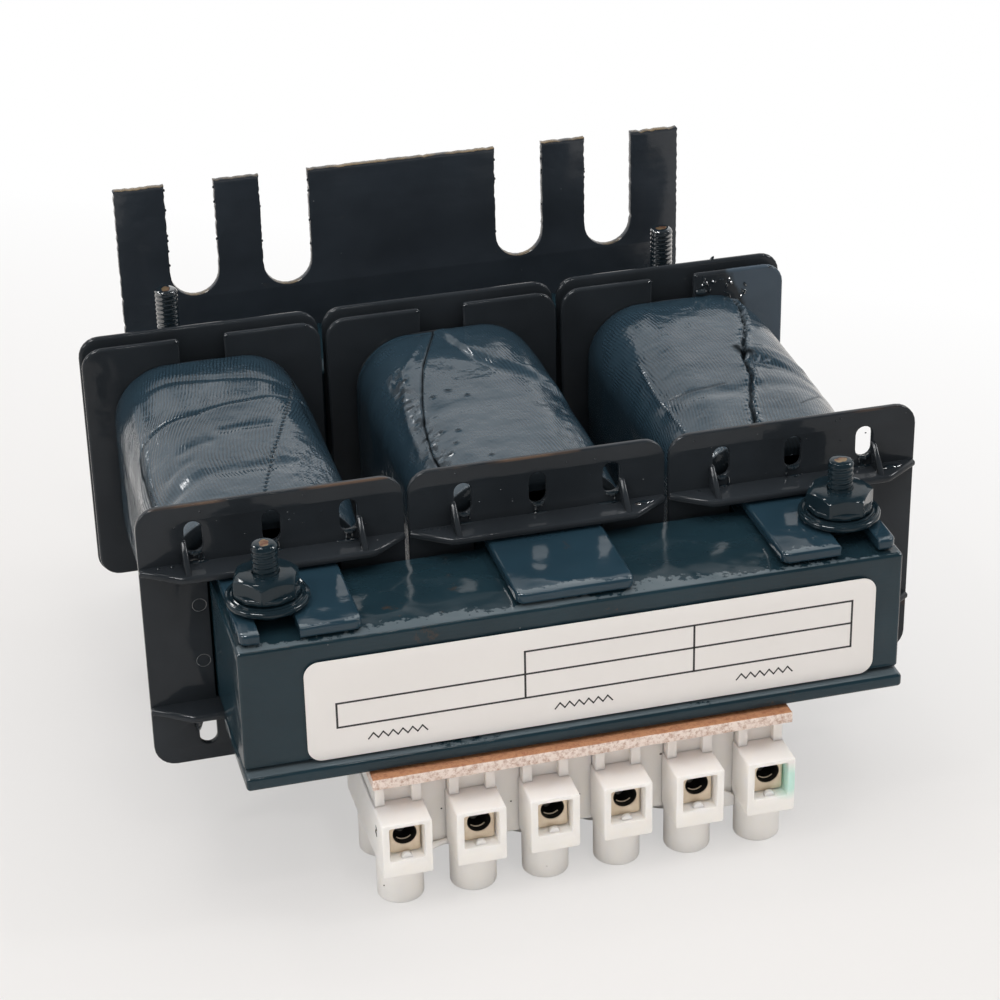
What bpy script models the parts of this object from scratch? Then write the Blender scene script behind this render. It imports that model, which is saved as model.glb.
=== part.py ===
"""Three-phase line reactor: a laminated core with three taped coils on moulded bobbins, its mounting plate
and a six-pole terminal strip.

The mounting plate stands upright at the back, the label faces -Y and the terminals hang below the front yoke.
The origin is the middle of the mounting plate's back. Sizes and places are worked out from the core's front
face, and an empty carries the whole to its place. All lengths are in metres.
"""

import math

import bmesh
import bpy
from mathutils import Matrix

MM = 0.001

# Fits
seat = 0.3 * MM  # gap left between two pieces that touch

# Laminated core: three legs, a yoke at the front and one at the back
leg_width = 17.2 * MM
window_width = 18.9 * MM
stack_height = 17.5 * MM
yoke_depth = 17.8 * MM
leg_length = 58.4 * MM
gap_card_thickness = 0.8 * MM
bolt_hole_inset = 5.8 * MM  # from the core's ends
bolt_hole_diameter = 4.3 * MM

# Wedges between the legs and the bobbins
wedge_thickness = 1.6 * MM
wedge_side_margin = 0.65 * MM  # from the leg's sides
wedge_front_margin = 0.9 * MM  # from the label face
wedge_rear_margin = 1.5 * MM  # from the bobbin's rear face
wedge_corner = 1.2 * MM
wedge_edge = 0.6 * MM
wedge_notch_width = 5.2 * MM

# Bobbins
bobbin_wall = 1.1 * MM
tube_corner = 2.0 * MM
bobbin_front_gap = 1.5 * MM  # to the front yoke
bobbin_rear_gap = 2.5 * MM  # to the rear yoke
flange_gap = 0.6 * MM  # between neighbouring flanges
flange_height = 39.0 * MM
front_flange_thickness = 0.9 * MM
rear_flange_thickness = 1.1 * MM
flange_corner = 3.0 * MM
ledge_depth = 4.1 * MM  # how far a ledge reaches forward over the yoke
ledge_slant = 5.25 * MM  # by which a ledge narrows on each side
gusset_height = 3.4 * MM
gusset_thickness = 0.8 * MM
gusset_inset = 0.1 * MM
lead_slot_width = 2.4 * MM
lead_slot_height = 4.6 * MM
lead_slot_spacing = 10.3 * MM
lead_slot_lift = 1.3 * MM  # above the ledge
inner_wall_thickness = 1.1 * MM
inner_wall_channel = 1.1 * MM  # between the two rear walls
inner_wall_drop = 0.9 * MM  # how much lower the inner wall ends
inner_wall_inset = 0.1 * MM  # at its sides
inner_wall_notch = 6.6 * MM

# Windings and the tape round them
coil_side_build = 4.3 * MM  # from the bobbin's tube to the outside of the tape
coil_top_build = 4.7 * MM
coil_corner = 9.0 * MM
coil_shoulder = 4.5 * MM  # length over which the tape rounds off at each flange
coil_shoulder_drop = 0.7 * MM
coil_taper = 0.5 * MM  # how much lower the tape lies at the front flange
tape_thickness = 0.6 * MM

# Bolts, nuts and washers
bolt_diameter = 3.5 * MM
bolt_length = 30.5 * MM
bolt_tip = 0.5 * MM
bolt_head_across = 6.35 * MM
bolt_head_height = 2.4 * MM
nut_across = 7.94 * MM
nut_height = 2.1 * MM
tooth_washer_diameter = 8.8 * MM
tooth_washer_thickness = 0.8 * MM
tooth_count = 12
washer_diameter = 11.1 * MM
washer_thickness = 0.9 * MM

# Mounting plate
plate_side_margin = 0.2 * MM  # from the core's ends
plate_height = 68.2 * MM
plate_thickness = 1.2 * MM
plate_slot_width = 7.5 * MM
plate_slot_depth = 18.4 * MM
plate_slot_inner = 18.5 * MM  # from the middle
plate_slot_outer = 33.0 * MM
weld_leg = 2.0 * MM
weld_length = 12.0 * MM
weld_spacing = 22.0 * MM

# Bracket strip below the front yoke, and the terminal board
bracket_thickness = 2.0 * MM
bracket_overhang = 1.5 * MM  # in front of the label face
bracket_side_overhang = 0.1 * MM
bracket_edge = 0.5 * MM
board_side_margin = 0.35 * MM  # beyond the end poles
board_depth = 19.4 * MM
board_thickness = 1.6 * MM
board_overhang = 1.4 * MM  # in front of the bracket

# Terminal housing
pole_count = 6
pole_pitch = 10.0 * MM
pole_width = 6.7 * MM
pole_depth = 22.2 * MM
pole_overhang = 2.7 * MM  # in front of the board
neck_inset = 4.7 * MM
neck_height = 3.6 * MM
neck_recess_width = 3.9 * MM
neck_recess_depth = 0.7 * MM
body_height = 8.2 * MM
body_edge = 0.25 * MM
entry_width = 4.7 * MM
entry_height = 5.1 * MM
entry_margin = 0.65 * MM  # below the body's upper face
tower_diameter = 6.3 * MM
tower_height = 6.15 * MM
tower_inset = 5.6 * MM  # axis, from the body's face
tower_bore = 4.4 * MM
web_height = 1.5 * MM
web_depth = 8.0 * MM
lower_web_height = 1.2 * MM
lower_web_depth = 1.6 * MM

# Clamp tubes, terminal screws and rivets
clamp_recess = 1.0 * MM
wire_bore = 2.9 * MM
clamp_roof = 0.25 * MM  # over the wire bore; the screws go through the thick side
screw_diameter = 2.2 * MM
screw_reach = 0.6 * MM  # into the wire bore
screw_head_diameter = 3.6 * MM
screw_head_height = 1.6 * MM
screw_head_gap = 2.2 * MM  # below the clamp tube
screw_slot_width = 0.6 * MM
screw_slot_depth = 0.8 * MM
rivet_diameter = 1.8 * MM
rivet_head_diameter = 2.6 * MM
rivet_head_height = 0.7 * MM
rivet_hole = 2.4 * MM

# Leads
lead_diameter = 2.0 * MM
lead_spread = 4.6 * MM  # of the two leads of a coil, from its middle
lead_insertion = 3.6 * MM  # into the terminal
lead_run = 12.0 * MM  # behind the front flange

# Label
label_side_margin = 6.05 * MM  # from the core's ends, before the shift
label_height = 14.7 * MM
label_thickness = 0.15 * MM
label_corner = 2.0 * MM
label_shift = 2.2 * MM  # to the right of the middle
label_drop = 1.3 * MM

# Places that follow from the sizes
leg_pitch = leg_width + window_width
core_width = 3 * leg_width + 2 * window_width
stack_top = stack_height / 2
leg_end = yoke_depth + leg_length
rear_yoke_front = leg_end + 2 * seat + gap_card_thickness
core_rear = rear_yoke_front + yoke_depth
bolt_x = core_width / 2 - bolt_hole_inset
front_bolt_y = yoke_depth / 2
rear_bolt_y = core_rear - yoke_depth / 2

plate_width = core_width - 2 * plate_side_margin
label_width = core_width - 2 * label_side_margin
wedge_width = leg_width - 2 * wedge_side_margin

bore_width = leg_width + 2 * seat
bore_bottom = -stack_top - seat
bore_top = stack_top + 2 * seat + wedge_thickness
bore_height = bore_top - bore_bottom
bobbin_z = (bore_top + bore_bottom) / 2
bobbin_front = yoke_depth + bobbin_front_gap
bobbin_rear = rear_yoke_front - bobbin_rear_gap
tube_width = bore_width + 2 * bobbin_wall
tube_height = bore_height + 2 * bobbin_wall
flange_width = leg_pitch - flange_gap
ledge_front_width = flange_width - 2 * ledge_slant
coil_width = tube_width + 2 * coil_side_build
coil_height = tube_height + 2 * coil_top_build
inner_wall_rear = bobbin_rear - rear_flange_thickness - inner_wall_channel
coil_front = bobbin_front + front_flange_thickness + seat
coil_rear = inner_wall_rear - inner_wall_thickness - seat

bracket_top = -stack_top - seat
bracket_bottom = bracket_top - bracket_thickness
bracket_rear = bobbin_front - ledge_depth - seat
board_top = bracket_bottom - seat
board_bottom = board_top - board_thickness
board_front = -bracket_overhang - board_overhang
board_width = pole_pitch * (pole_count - 1) + pole_width + 2 * board_side_margin
housing_top = board_bottom - seat
body_top = housing_top - neck_height
body_bottom = body_top - body_height
tower_bottom = body_bottom - tower_height
pole_front = board_front - pole_overhang
pole_y = pole_front + pole_depth / 2
front_screw_y = pole_front + tower_inset
rear_screw_y = pole_front + pole_depth - tower_inset
entry_z = body_top - entry_margin - entry_height / 2
clamp_top = entry_z + entry_height / 2 - seat
bore_z = clamp_top - clamp_roof - wire_bore / 2
first_pole_x = -pole_pitch * (pole_count - 1) / 2
plate_front = core_rear + seat
plate_rear = plate_front + plate_thickness

phases = (("left", -leg_pitch), ("middle", 0.0), ("right", leg_pitch))

for old in list(bpy.data.objects):
    bpy.data.objects.remove(old)

parts = bpy.data.collections.new("line_reactor")
helpers = bpy.data.collections.new("line_reactor_cutters")
bpy.context.scene.collection.children.link(parts)
bpy.context.scene.collection.children.link(helpers)


def material(name, colour, metallic, roughness):
    made = bpy.data.materials.new(name)
    made.use_nodes = True
    shader = made.node_tree.nodes["Principled BSDF"]
    shader.inputs["Base Color"].default_value = (*colour, 1.0)
    shader.inputs["Metallic"].default_value = metallic
    shader.inputs["Roughness"].default_value = roughness
    return made


varnished_steel = material("varnished_steel", (0.022, 0.036, 0.050), 0.1, 0.28)
varnished_plate = material("varnished_plate", (0.016, 0.025, 0.034), 0.1, 0.35)
varnished_bobbin = material("varnished_bobbin", (0.014, 0.020, 0.028), 0.0, 0.35)
varnished_tape = material("varnished_tape", (0.035, 0.060, 0.082), 0.0, 0.25)
varnished_wedge = material("varnished_wedge", (0.020, 0.036, 0.052), 0.0, 0.25)
varnished_hardware = material("varnished_hardware", (0.020, 0.034, 0.046), 0.2, 0.22)
copper = material("copper", (0.72, 0.30, 0.14), 1.0, 0.35)
gap_card = material("gap_card", (0.32, 0.22, 0.12), 0.0, 0.8)
board_fibre = material("board_fibre", (0.66, 0.40, 0.27), 0.0, 0.7)
polyamide = material("polyamide", (0.80, 0.79, 0.76), 0.0, 0.4)
clamp_metal = material("clamp_metal", (0.62, 0.52, 0.34), 1.0, 0.4)
screw_metal = material("screw_metal", (0.30, 0.29, 0.28), 1.0, 0.35)
sleeving = material("sleeving", (0.55, 0.47, 0.33), 0.0, 0.6)
label_film = material("label_film", (0.86, 0.84, 0.82), 0.0, 0.35)


def arc(centre, radius, start, end, steps):
    """Points on an arc, angles in degrees."""
    return [
        (
            centre[0] + radius * math.cos(math.radians(start + (end - start) * i / steps)),
            centre[1] + radius * math.sin(math.radians(start + (end - start) * i / steps)),
        )
        for i in range(steps + 1)
    ]


def rounded_rectangle(width, height, radius, steps=4):
    half_w, half_h = width / 2 - radius, height / 2 - radius
    corners = ((half_w, half_h, 0), (-half_w, half_h, 90), (-half_w, -half_h, 180), (half_w, -half_h, 270))
    return [point for x, y, turn in corners for point in arc((x, y), radius, turn, turn + 90, steps)]


def circle(x, y, diameter, steps=16):
    return arc((x, y), diameter / 2, 0, 360, steps)[:-1]


def oblong(x, y, width, height, steps=6):
    """An upright slot with round ends."""
    reach = (height - width) / 2
    return arc((x, y + reach), width / 2, 0, 180, steps) + arc((x, y - reach), width / 2, 180, 360, steps)


def link(name, mesh, look, location=(0, 0, 0), group=None):
    made = bpy.data.objects.new(name, mesh)
    made.location = location
    if look:
        made.data.materials.clear()
        made.data.materials.append(look)
    (group or parts).objects.link(made)
    if (group or parts) is helpers:
        made.hide_render = True
        made.display_type = "WIRE"
    return made


def evaluated_mesh(source):
    depsgraph = bpy.context.evaluated_depsgraph_get()
    return bpy.data.meshes.new_from_object(source.evaluated_get(depsgraph))


def extrusion(name, loops, depth, facing="Z"):
    """A mesh: closed outlines (the later ones are holes) extruded both ways from the origin's plane.

    facing Z keeps the outline's axes, Y turns them to X and Z, and X turns them to Y and Z.
    """
    curve = bpy.data.curves.new(name, "CURVE")
    curve.dimensions = "2D"
    curve.fill_mode = "BOTH"
    curve.extrude = depth / 2
    for loop in loops:
        spline = curve.splines.new("POLY")
        spline.points.add(len(loop) - 1)
        for point, (x, y) in zip(spline.points, loop):
            point.co = (x, y, 0, 1)
        spline.use_cyclic_u = True
    guide = link(name, curve, None, group=helpers)
    mesh = evaluated_mesh(guide)
    bpy.data.objects.remove(guide)
    turns = {
        "Z": Matrix.Identity(4),
        "Y": Matrix.Rotation(math.radians(90), 4, "X"),
        "X": Matrix.Rotation(math.radians(90), 4, "Z") @ Matrix.Rotation(math.radians(90), 4, "X"),
    }
    mesh.transform(turns[facing])
    sealed(mesh)
    return mesh


def sealed(mesh):
    """Weld the caps to the sides and face everything outwards."""
    work = bmesh.new()
    work.from_mesh(mesh)
    bmesh.ops.remove_doubles(work, verts=work.verts, dist=1e-7)
    bmesh.ops.recalc_face_normals(work, faces=work.faces)
    work.to_mesh(mesh)
    work.free()


def block(name, size, edge=0.0, segments=2):
    """A box mesh about the origin, with its edges rounded."""
    mesh = bpy.data.meshes.new(name)
    work = bmesh.new()
    bmesh.ops.create_cube(work, size=1.0, matrix=Matrix.Diagonal((*size, 1.0)))
    if edge:
        bmesh.ops.bevel(
            work, geom=work.edges, offset=edge, offset_type="OFFSET", segments=segments, profile=0.5, affect="EDGES"
        )
    work.to_mesh(mesh)
    work.free()
    return mesh


def rod(name, diameter, length, steps=16, axis="Z"):
    """A cylinder mesh about the origin."""
    mesh = bpy.data.meshes.new(name)
    work = bmesh.new()
    bmesh.ops.create_cone(
        work, cap_ends=True, segments=steps, radius1=diameter / 2, radius2=diameter / 2, depth=length
    )
    work.to_mesh(mesh)
    work.free()
    if axis == "Y":
        mesh.transform(Matrix.Rotation(math.radians(90), 4, "X"))
    return mesh


def turned(name, profile, steps=24):
    """A solid of revolution about Z; the profile runs down its outer side, from axis to axis."""
    mesh = bpy.data.meshes.new(name)
    mesh.from_pydata([(r, 0, z) for r, z in profile], [(i, i + 1) for i in range(len(profile) - 1)], [])
    guide = link(name, mesh, None, group=helpers)
    screw = guide.modifiers.new("turn", "SCREW")
    screw.axis = "Z"
    screw.steps = steps
    screw.render_steps = steps
    screw.use_merge_vertices = True
    screw.merge_threshold = 1e-6
    made = evaluated_mesh(guide)
    bpy.data.objects.remove(guide)
    sealed(made)
    return made


def combine(target, mesh, operation, location=(0, 0, 0), count=1, step=0.0):
    """Join or cut a mesh at a place in the target's own frame, repeated along X where count is more than one."""
    tool = link(f"{target.name}_{operation.lower()}_{len(target.modifiers):02d}", mesh, None, group=helpers)
    tool.location = target.location
    tool.delta_location = location
    if count > 1:
        array = tool.modifiers.new("pattern", "ARRAY")
        array.count = count
        array.use_relative_offset = False
        array.use_constant_offset = True
        array.constant_offset_displace = (step, 0, 0)
        array.use_merge_vertices = False
    change = target.modifiers.new(tool.name, "BOOLEAN")
    change.operation = operation
    change.object = tool
    return tool


def finished(target, smooth_angle=35):
    """Turn the target's modifiers into its own mesh and drop their tools."""
    tools = [change.object for change in target.modifiers if change.type == "BOOLEAN"]
    look = target.data.materials[0] if target.data.materials else None
    mesh = evaluated_mesh(target)
    mesh.name = target.name
    target.modifiers.clear()
    target.data = mesh
    if look:
        mesh.materials.clear()
        mesh.materials.append(look)
    for tool in tools:
        bpy.data.objects.remove(tool)
    mesh.shade_smooth()
    mesh.set_sharp_from_angle(angle=math.radians(smooth_angle))
    return target


def copies(source, names_and_places):
    """Place the source's mesh under several names; the first name is the source itself."""
    for index, (name, place) in enumerate(names_and_places):
        if index == 0:
            source.name = name
            source.location = place
        else:
            link(name, source.data, None, location=place)


# The core's two stacks of sheets: an E with its yoke at the front, and an I behind the legs

half_core = core_width / 2
e_outline = [(-half_core, 0), (half_core, 0), (half_core, leg_end)]
for leg_x in (leg_pitch, 0.0, -leg_pitch):
    e_outline += [(leg_x - leg_width / 2, leg_end)]
    if leg_x > -leg_pitch:
        e_outline += [
            (leg_x - leg_width / 2, yoke_depth),
            (leg_x - leg_width / 2 - window_width, yoke_depth),
            (leg_x - leg_width / 2 - window_width, leg_end),
        ]
e_holes = [circle(side * bolt_x, front_bolt_y, bolt_hole_diameter) for side in (-1, 1)]
link("core_e_stack", extrusion("core_e_stack", [e_outline, *e_holes], stack_height), varnished_steel)

i_outline = [(-half_core, rear_yoke_front), (half_core, rear_yoke_front), (half_core, core_rear), (-half_core, core_rear)]
i_holes = [circle(side * bolt_x, rear_bolt_y, bolt_hole_diameter) for side in (-1, 1)]
link("core_i_stack", extrusion("core_i_stack", [i_outline, *i_holes], stack_height), varnished_steel)

card = link("gap_card", block("gap_card", (leg_width, gap_card_thickness, stack_height)), gap_card)
copies(card, [(f"gap_card_{phase}", (x, leg_end + seat + gap_card_thickness / 2, 0)) for phase, x in phases])

# Moulded bobbins: a tube, a front flange with ledges over and under the yoke, and a double rear flange

ledge_top = tube_height / 2
front_slots = [
    oblong(x, side * (ledge_top + lead_slot_lift + lead_slot_height / 2), lead_slot_width, lead_slot_height)
    for side in (-1, 1)
    for x in (-lead_slot_spacing, 0.0, lead_slot_spacing)
]
flange_outline = rounded_rectangle(flange_width, flange_height, flange_corner)
front_flange = extrusion("front_flange", [flange_outline, *front_slots], front_flange_thickness, "Y")
flange_y = bobbin_front + front_flange_thickness / 2
bobbin = link("bobbin", front_flange, varnished_bobbin, location=(0, flange_y, bobbin_z))

bobbin_length = bobbin_rear - bobbin_front
tube_rear = bobbin_rear - rear_flange_thickness / 2 - flange_y
tube_front = front_flange_thickness / 4
tube = extrusion("tube", [rounded_rectangle(tube_width, tube_height, tube_corner)], tube_rear - tube_front, "Y")
combine(bobbin, tube, "UNION", (0, (tube_rear + tube_front) / 2, 0))
rear_flange = extrusion("rear_flange", [flange_outline], rear_flange_thickness, "Y")
combine(bobbin, rear_flange, "UNION", (0, tube_rear, 0))

# The inner rear wall ends a little lower and has a notch that takes the start of the winding down to the tube.
wall_half = flange_width / 2 - inner_wall_inset
wall_top = flange_height / 2 - inner_wall_drop
notch_half = inner_wall_notch / 2
notch_bottom = tube_height / 2 - bobbin_wall / 2
wall_outline = [
    (notch_half, notch_bottom),
    (notch_half, wall_top),
    *arc((wall_half - flange_corner, wall_top - flange_corner), flange_corner, 90, 0, 4),
    *arc((wall_half - flange_corner, flange_corner - wall_top), flange_corner, 0, -90, 4),
    *arc((flange_corner - wall_half, flange_corner - wall_top), flange_corner, -90, -180, 4),
    *arc((flange_corner - wall_half, wall_top - flange_corner), flange_corner, 180, 90, 4),
    (-notch_half, wall_top),
    (-notch_half, notch_bottom),
]
inner_wall = extrusion("inner_wall", [wall_outline], inner_wall_thickness, "Y")
inner_wall_y = inner_wall_rear - inner_wall_thickness / 2 - flange_y
combine(bobbin, inner_wall, "UNION", (0, inner_wall_y, 0))

ledge_root = front_flange_thickness / 4
ledge_outline = [
    (-flange_width / 2, ledge_root),
    (-flange_width / 2, -front_flange_thickness / 2 - bobbin_wall / 2),
    (-ledge_front_width / 2, -front_flange_thickness / 2 - ledge_depth),
    (ledge_front_width / 2, -front_flange_thickness / 2 - ledge_depth),
    (flange_width / 2, -front_flange_thickness / 2 - bobbin_wall / 2),
    (flange_width / 2, ledge_root),
]
gusset_sink = bobbin_wall / 2
for side in (-1, 1):
    ledge = extrusion("ledge", [ledge_outline], bobbin_wall)
    combine(bobbin, ledge, "UNION", (0, 0, side * (ledge_top - bobbin_wall / 2)))
    gusset_outline = [
        (ledge_root, side * (ledge_top - gusset_sink)),
        (ledge_root, side * (ledge_top + gusset_height)),
        (-front_flange_thickness / 2, side * (ledge_top + gusset_height)),
        (-front_flange_thickness / 2 - ledge_depth + gusset_inset, side * ledge_top),
        (-front_flange_thickness / 2 - ledge_depth + gusset_inset, side * (ledge_top - gusset_sink)),
    ]
    gusset_x = ledge_front_width / 2 - gusset_inset - gusset_thickness / 2
    gusset = extrusion("gusset", [gusset_outline], gusset_thickness, "X")
    combine(bobbin, gusset, "UNION", (-gusset_x, 0, 0), count=2, step=2 * gusset_x)

bore = block("bore", (bore_width, 2 * bobbin_length, bore_height))
combine(bobbin, bore, "DIFFERENCE", (0, bobbin_length - ledge_depth / 2, 0))
finished(bobbin)
copies(bobbin, [(f"bobbin_{phase}", (x, flange_y, bobbin_z)) for phase, x in phases])

# Copper windings on the bobbins' tubes, with varnished tape round them

coil_length = coil_rear - coil_front
coil_y = (coil_rear + coil_front) / 2
wire_inset = coil_shoulder_drop + coil_taper + tape_thickness + seat
wire_width = coil_width - 2 * wire_inset
wire_height = coil_height - 2 * wire_inset
wire_corner = coil_corner - wire_inset
wire_outline = rounded_rectangle(wire_width, wire_height, wire_corner)
wire_hole = rounded_rectangle(tube_width + 2 * seat, tube_height + 2 * seat, tube_corner + seat)
winding = link("winding", extrusion("winding", [wire_outline, wire_hole], coil_length, "Y"), copper)
finished(winding)
copies(winding, [(f"winding_{phase}", (x, coil_y, bobbin_z)) for phase, x in phases])


def taped_section(inset):
    return rounded_rectangle(coil_width - 2 * inset, coil_height - 2 * inset, coil_corner - inset, 4)


def taped_body(name):
    """A loft through rounded sections: a shoulder at each end, and slightly lower at the front."""
    shoulder_steps = 3
    shoulder = []
    for i in range(shoulder_steps + 1):
        turn = math.radians(90 * i / shoulder_steps)
        shoulder.append((coil_shoulder * (1 - math.cos(turn)), coil_shoulder_drop * (1 - math.sin(turn))))
    stations = shoulder + [(coil_length / 2, 0)] + [(coil_length - along, drop) for along, drop in reversed(shoulder)]
    stations = [(along, drop + coil_taper * (1 - along / coil_length)) for along, drop in stations]
    work = bmesh.new()
    rings = []
    for along, inset in stations:
        rings.append([work.verts.new((x, along - coil_length / 2, z)) for x, z in taped_section(inset)])
    for ring, following in zip(rings, rings[1:]):
        for i in range(len(ring)):
            work.faces.new((ring[i], ring[i - 1], following[i - 1], following[i]))
    work.faces.new(rings[0])
    work.faces.new(reversed(rings[-1]))
    bmesh.ops.recalc_face_normals(work, faces=work.faces)
    mesh = bpy.data.meshes.new(name)
    work.to_mesh(mesh)
    work.free()
    return mesh


tape = link("tape", taped_body("tape"), varnished_tape)
tape_hole = rounded_rectangle(wire_width + 2 * seat, wire_height + 2 * seat, wire_corner + seat)
combine(tape, extrusion("tape_hole", [tape_hole], 2 * coil_length, "Y"), "DIFFERENCE")
finished(tape, 50)
copies(tape, [(f"coil_wrap_{phase}", (x, coil_y, bobbin_z)) for phase, x in phases])

# Wedges on the legs; the outer two are notched round the front bolts

wedge_front = wedge_front_margin
wedge_rear = bobbin_rear - wedge_rear_margin
wedge_length = wedge_rear - wedge_front
wedge_z = stack_top + seat + wedge_thickness / 2


def wedge(name, centre_x, bolt_offset):
    outline = rounded_rectangle(wedge_width, wedge_length, wedge_corner, 3)
    made = link(
        name,
        extrusion(name, [outline], wedge_thickness),
        varnished_wedge,
        location=(centre_x, (wedge_front + wedge_rear) / 2, wedge_z),
    )
    if bolt_offset is not None:
        reach = front_bolt_y - wedge_front
        notch = oblong(0, 0, wedge_notch_width, 2 * reach + wedge_notch_width)
        cutter = extrusion(f"{name}_notch", [notch], 3 * wedge_thickness)
        combine(made, cutter, "DIFFERENCE", (bolt_offset, -wedge_length / 2, 0))
    bevel = made.modifiers.new("edges", "BEVEL")
    bevel.width = wedge_edge
    bevel.segments = 1
    bevel.limit_method = "ANGLE"
    bevel.angle_limit = math.radians(60)
    return finished(made)


for phase, x in phases:
    wedge(f"wedge_{phase}", x, None if x == 0 else math.copysign(bolt_x, x) - x)

# Mounting plate: open slots in the upper and lower edge, welded to the rear yoke

plate = link(
    "mounting_plate",
    block("mounting_plate", (plate_width, plate_thickness, plate_height)),
    varnished_plate,
    location=(0, plate_front + plate_thickness / 2, 0),
)
open_slot = extrusion(
    "open_slot", [oblong(0, 0, plate_slot_width, 2 * plate_slot_depth, 10)], 4 * plate_thickness, "Y"
)
for side in (-1, 1):
    for row_start in (-plate_slot_outer, plate_slot_inner):
        combine(
            plate,
            open_slot,
            "DIFFERENCE",
            (row_start, 0, side * plate_height / 2),
            count=2,
            step=plate_slot_outer - plate_slot_inner,
        )
weld_reach = weld_leg + plate_thickness / 2
weld_outline = [(0, 0), *[(-y, -z) for y, z in arc((0, 0), weld_reach, 90, 0, 6)]]
weld = extrusion("weld", [weld_outline], weld_length, "X")
combine(plate, weld, "UNION", (-weld_spacing, 0, -stack_top - seat), count=3, step=weld_spacing)
finished(plate)

# Bracket strip under the front yoke: its rounded front edge shows as a lip below the label

bracket_width = core_width + 2 * bracket_side_overhang
bracket_length = bracket_rear + bracket_overhang
bracket = link(
    "terminal_bracket",
    block("terminal_bracket", (bracket_width, bracket_length, bracket_thickness), bracket_edge),
    varnished_steel,
    location=(0, bracket_rear - bracket_length / 2, (bracket_top + bracket_bottom) / 2),
)
bracket_y = bracket.location.y
bolt_hole = rod("bolt_hole", bolt_hole_diameter, 3 * bracket_thickness)
combine(bracket, bolt_hole, "DIFFERENCE", (-bolt_x, front_bolt_y - bracket_y, 0), count=2, step=2 * bolt_x)
rivet_x = pole_pitch * (pole_count / 2 - 1)
bracket_rivet_hole = rod("bracket_rivet_hole", rivet_hole, 3 * bracket_thickness, 12)
combine(bracket, bracket_rivet_hole, "DIFFERENCE", (-rivet_x, pole_y - bracket_y, 0), count=2, step=2 * rivet_x)
finished(bracket)

board = link(
    "terminal_board",
    block("terminal_board", (board_width, board_depth, board_thickness)),
    board_fibre,
    location=(0, board_front + board_depth / 2, (board_top + board_bottom) / 2),
)
board_rivet_hole = rod("board_rivet_hole", rivet_hole, 3 * board_thickness, 12)
combine(board, board_rivet_hole, "DIFFERENCE", (-rivet_x, pole_y - board.location.y, 0), count=2, step=2 * rivet_x)
finished(board)

# Terminal housing: six poles on a thin base, each with a wire channel and two screw towers

base_length = pole_pitch * (pole_count - 1) + pole_width - 2 * body_edge
housing = link(
    "terminal_housing",
    block("terminal_housing", (base_length, web_depth, web_height)),
    polyamide,
    location=(0, pole_y, housing_top - web_height / 2),
)


def pole_tool(mesh, operation, y, z):
    """Join or cut a shape at a place in the first pole, repeated for the others."""
    place = (first_pole_x, y - pole_y, z - housing.location.z)
    return combine(housing, mesh, operation, place, count=pole_count, step=pole_pitch)


neck_depth = pole_depth - 2 * neck_inset
neck_overlap = body_height / 4
neck = block("neck", (pole_width - 2 * body_edge, neck_depth, neck_height + neck_overlap))
pole_tool(neck, "UNION", pole_y, housing_top - (neck_height + neck_overlap) / 2)
body = block("body", (pole_width, pole_depth, body_height), body_edge, 1)
pole_tool(body, "UNION", pole_y, (body_top + body_bottom) / 2)
tower_overlap = body_height / 4
tower_z = tower_bottom + (tower_height + tower_overlap) / 2
for tower_y in (front_screw_y, rear_screw_y):
    tower = rod("tower", tower_diameter, tower_height + tower_overlap, 20)
    pole_tool(tower, "UNION", tower_y, tower_z)
lower_web = block("lower_web", (pole_pitch * (pole_count - 1), lower_web_depth, lower_web_height))
combine(housing, lower_web, "UNION", (0, 0, body_bottom + lower_web_height - housing.location.z))

channel = block("channel", (entry_width, 2 * pole_depth, entry_height))
pole_tool(channel, "DIFFERENCE", pole_y, entry_z)
bore_reach = entry_z - tower_bottom
for tower_y in (front_screw_y, rear_screw_y):
    screw_bore = rod("screw_bore", tower_bore, 2 * bore_reach, 16)
    pole_tool(screw_bore, "DIFFERENCE", tower_y, tower_bottom)
recess = block("recess", (neck_recess_width, neck_recess_depth * 2, neck_height * 2))
for recess_y in (pole_front + neck_inset, pole_front + pole_depth - neck_inset):
    pole_tool(recess, "DIFFERENCE", recess_y, housing_top)
housing_rivet_hole = rod("housing_rivet_hole", rivet_hole, 3 * web_height, 12)
combine(housing, housing_rivet_hole, "DIFFERENCE", (-rivet_x, 0, 0), count=2, step=2 * rivet_x)
finished(housing)

# Clamp tubes in the channels, each with a wire bore and two tapped holes

clamp_width = entry_width - 2 * seat
clamp_height = entry_height - 2 * seat
clamp_length = pole_depth - 2 * clamp_recess
clamp = link("clamp", block("clamp", (clamp_width, clamp_length, clamp_height)), clamp_metal, location=(0, pole_y, entry_z))
combine(clamp, rod("wire_bore", wire_bore, 2 * clamp_length, 16, "Y"), "DIFFERENCE", (0, 0, bore_z - entry_z))
for screw_y in (front_screw_y, rear_screw_y):
    tapped = rod("tapped", screw_diameter + 2 * seat, clamp_height, 10)
    combine(clamp, tapped, "DIFFERENCE", (0, screw_y - pole_y, -clamp_height / 2))
finished(clamp)
poles = [(index + 1, first_pole_x + index * pole_pitch) for index in range(pole_count)]
copies(clamp, [(f"clamp_tube_{index}", (x, pole_y, entry_z)) for index, x in poles])

# Terminal screws: heads down in the towers, tips just inside the wire bore

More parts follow.
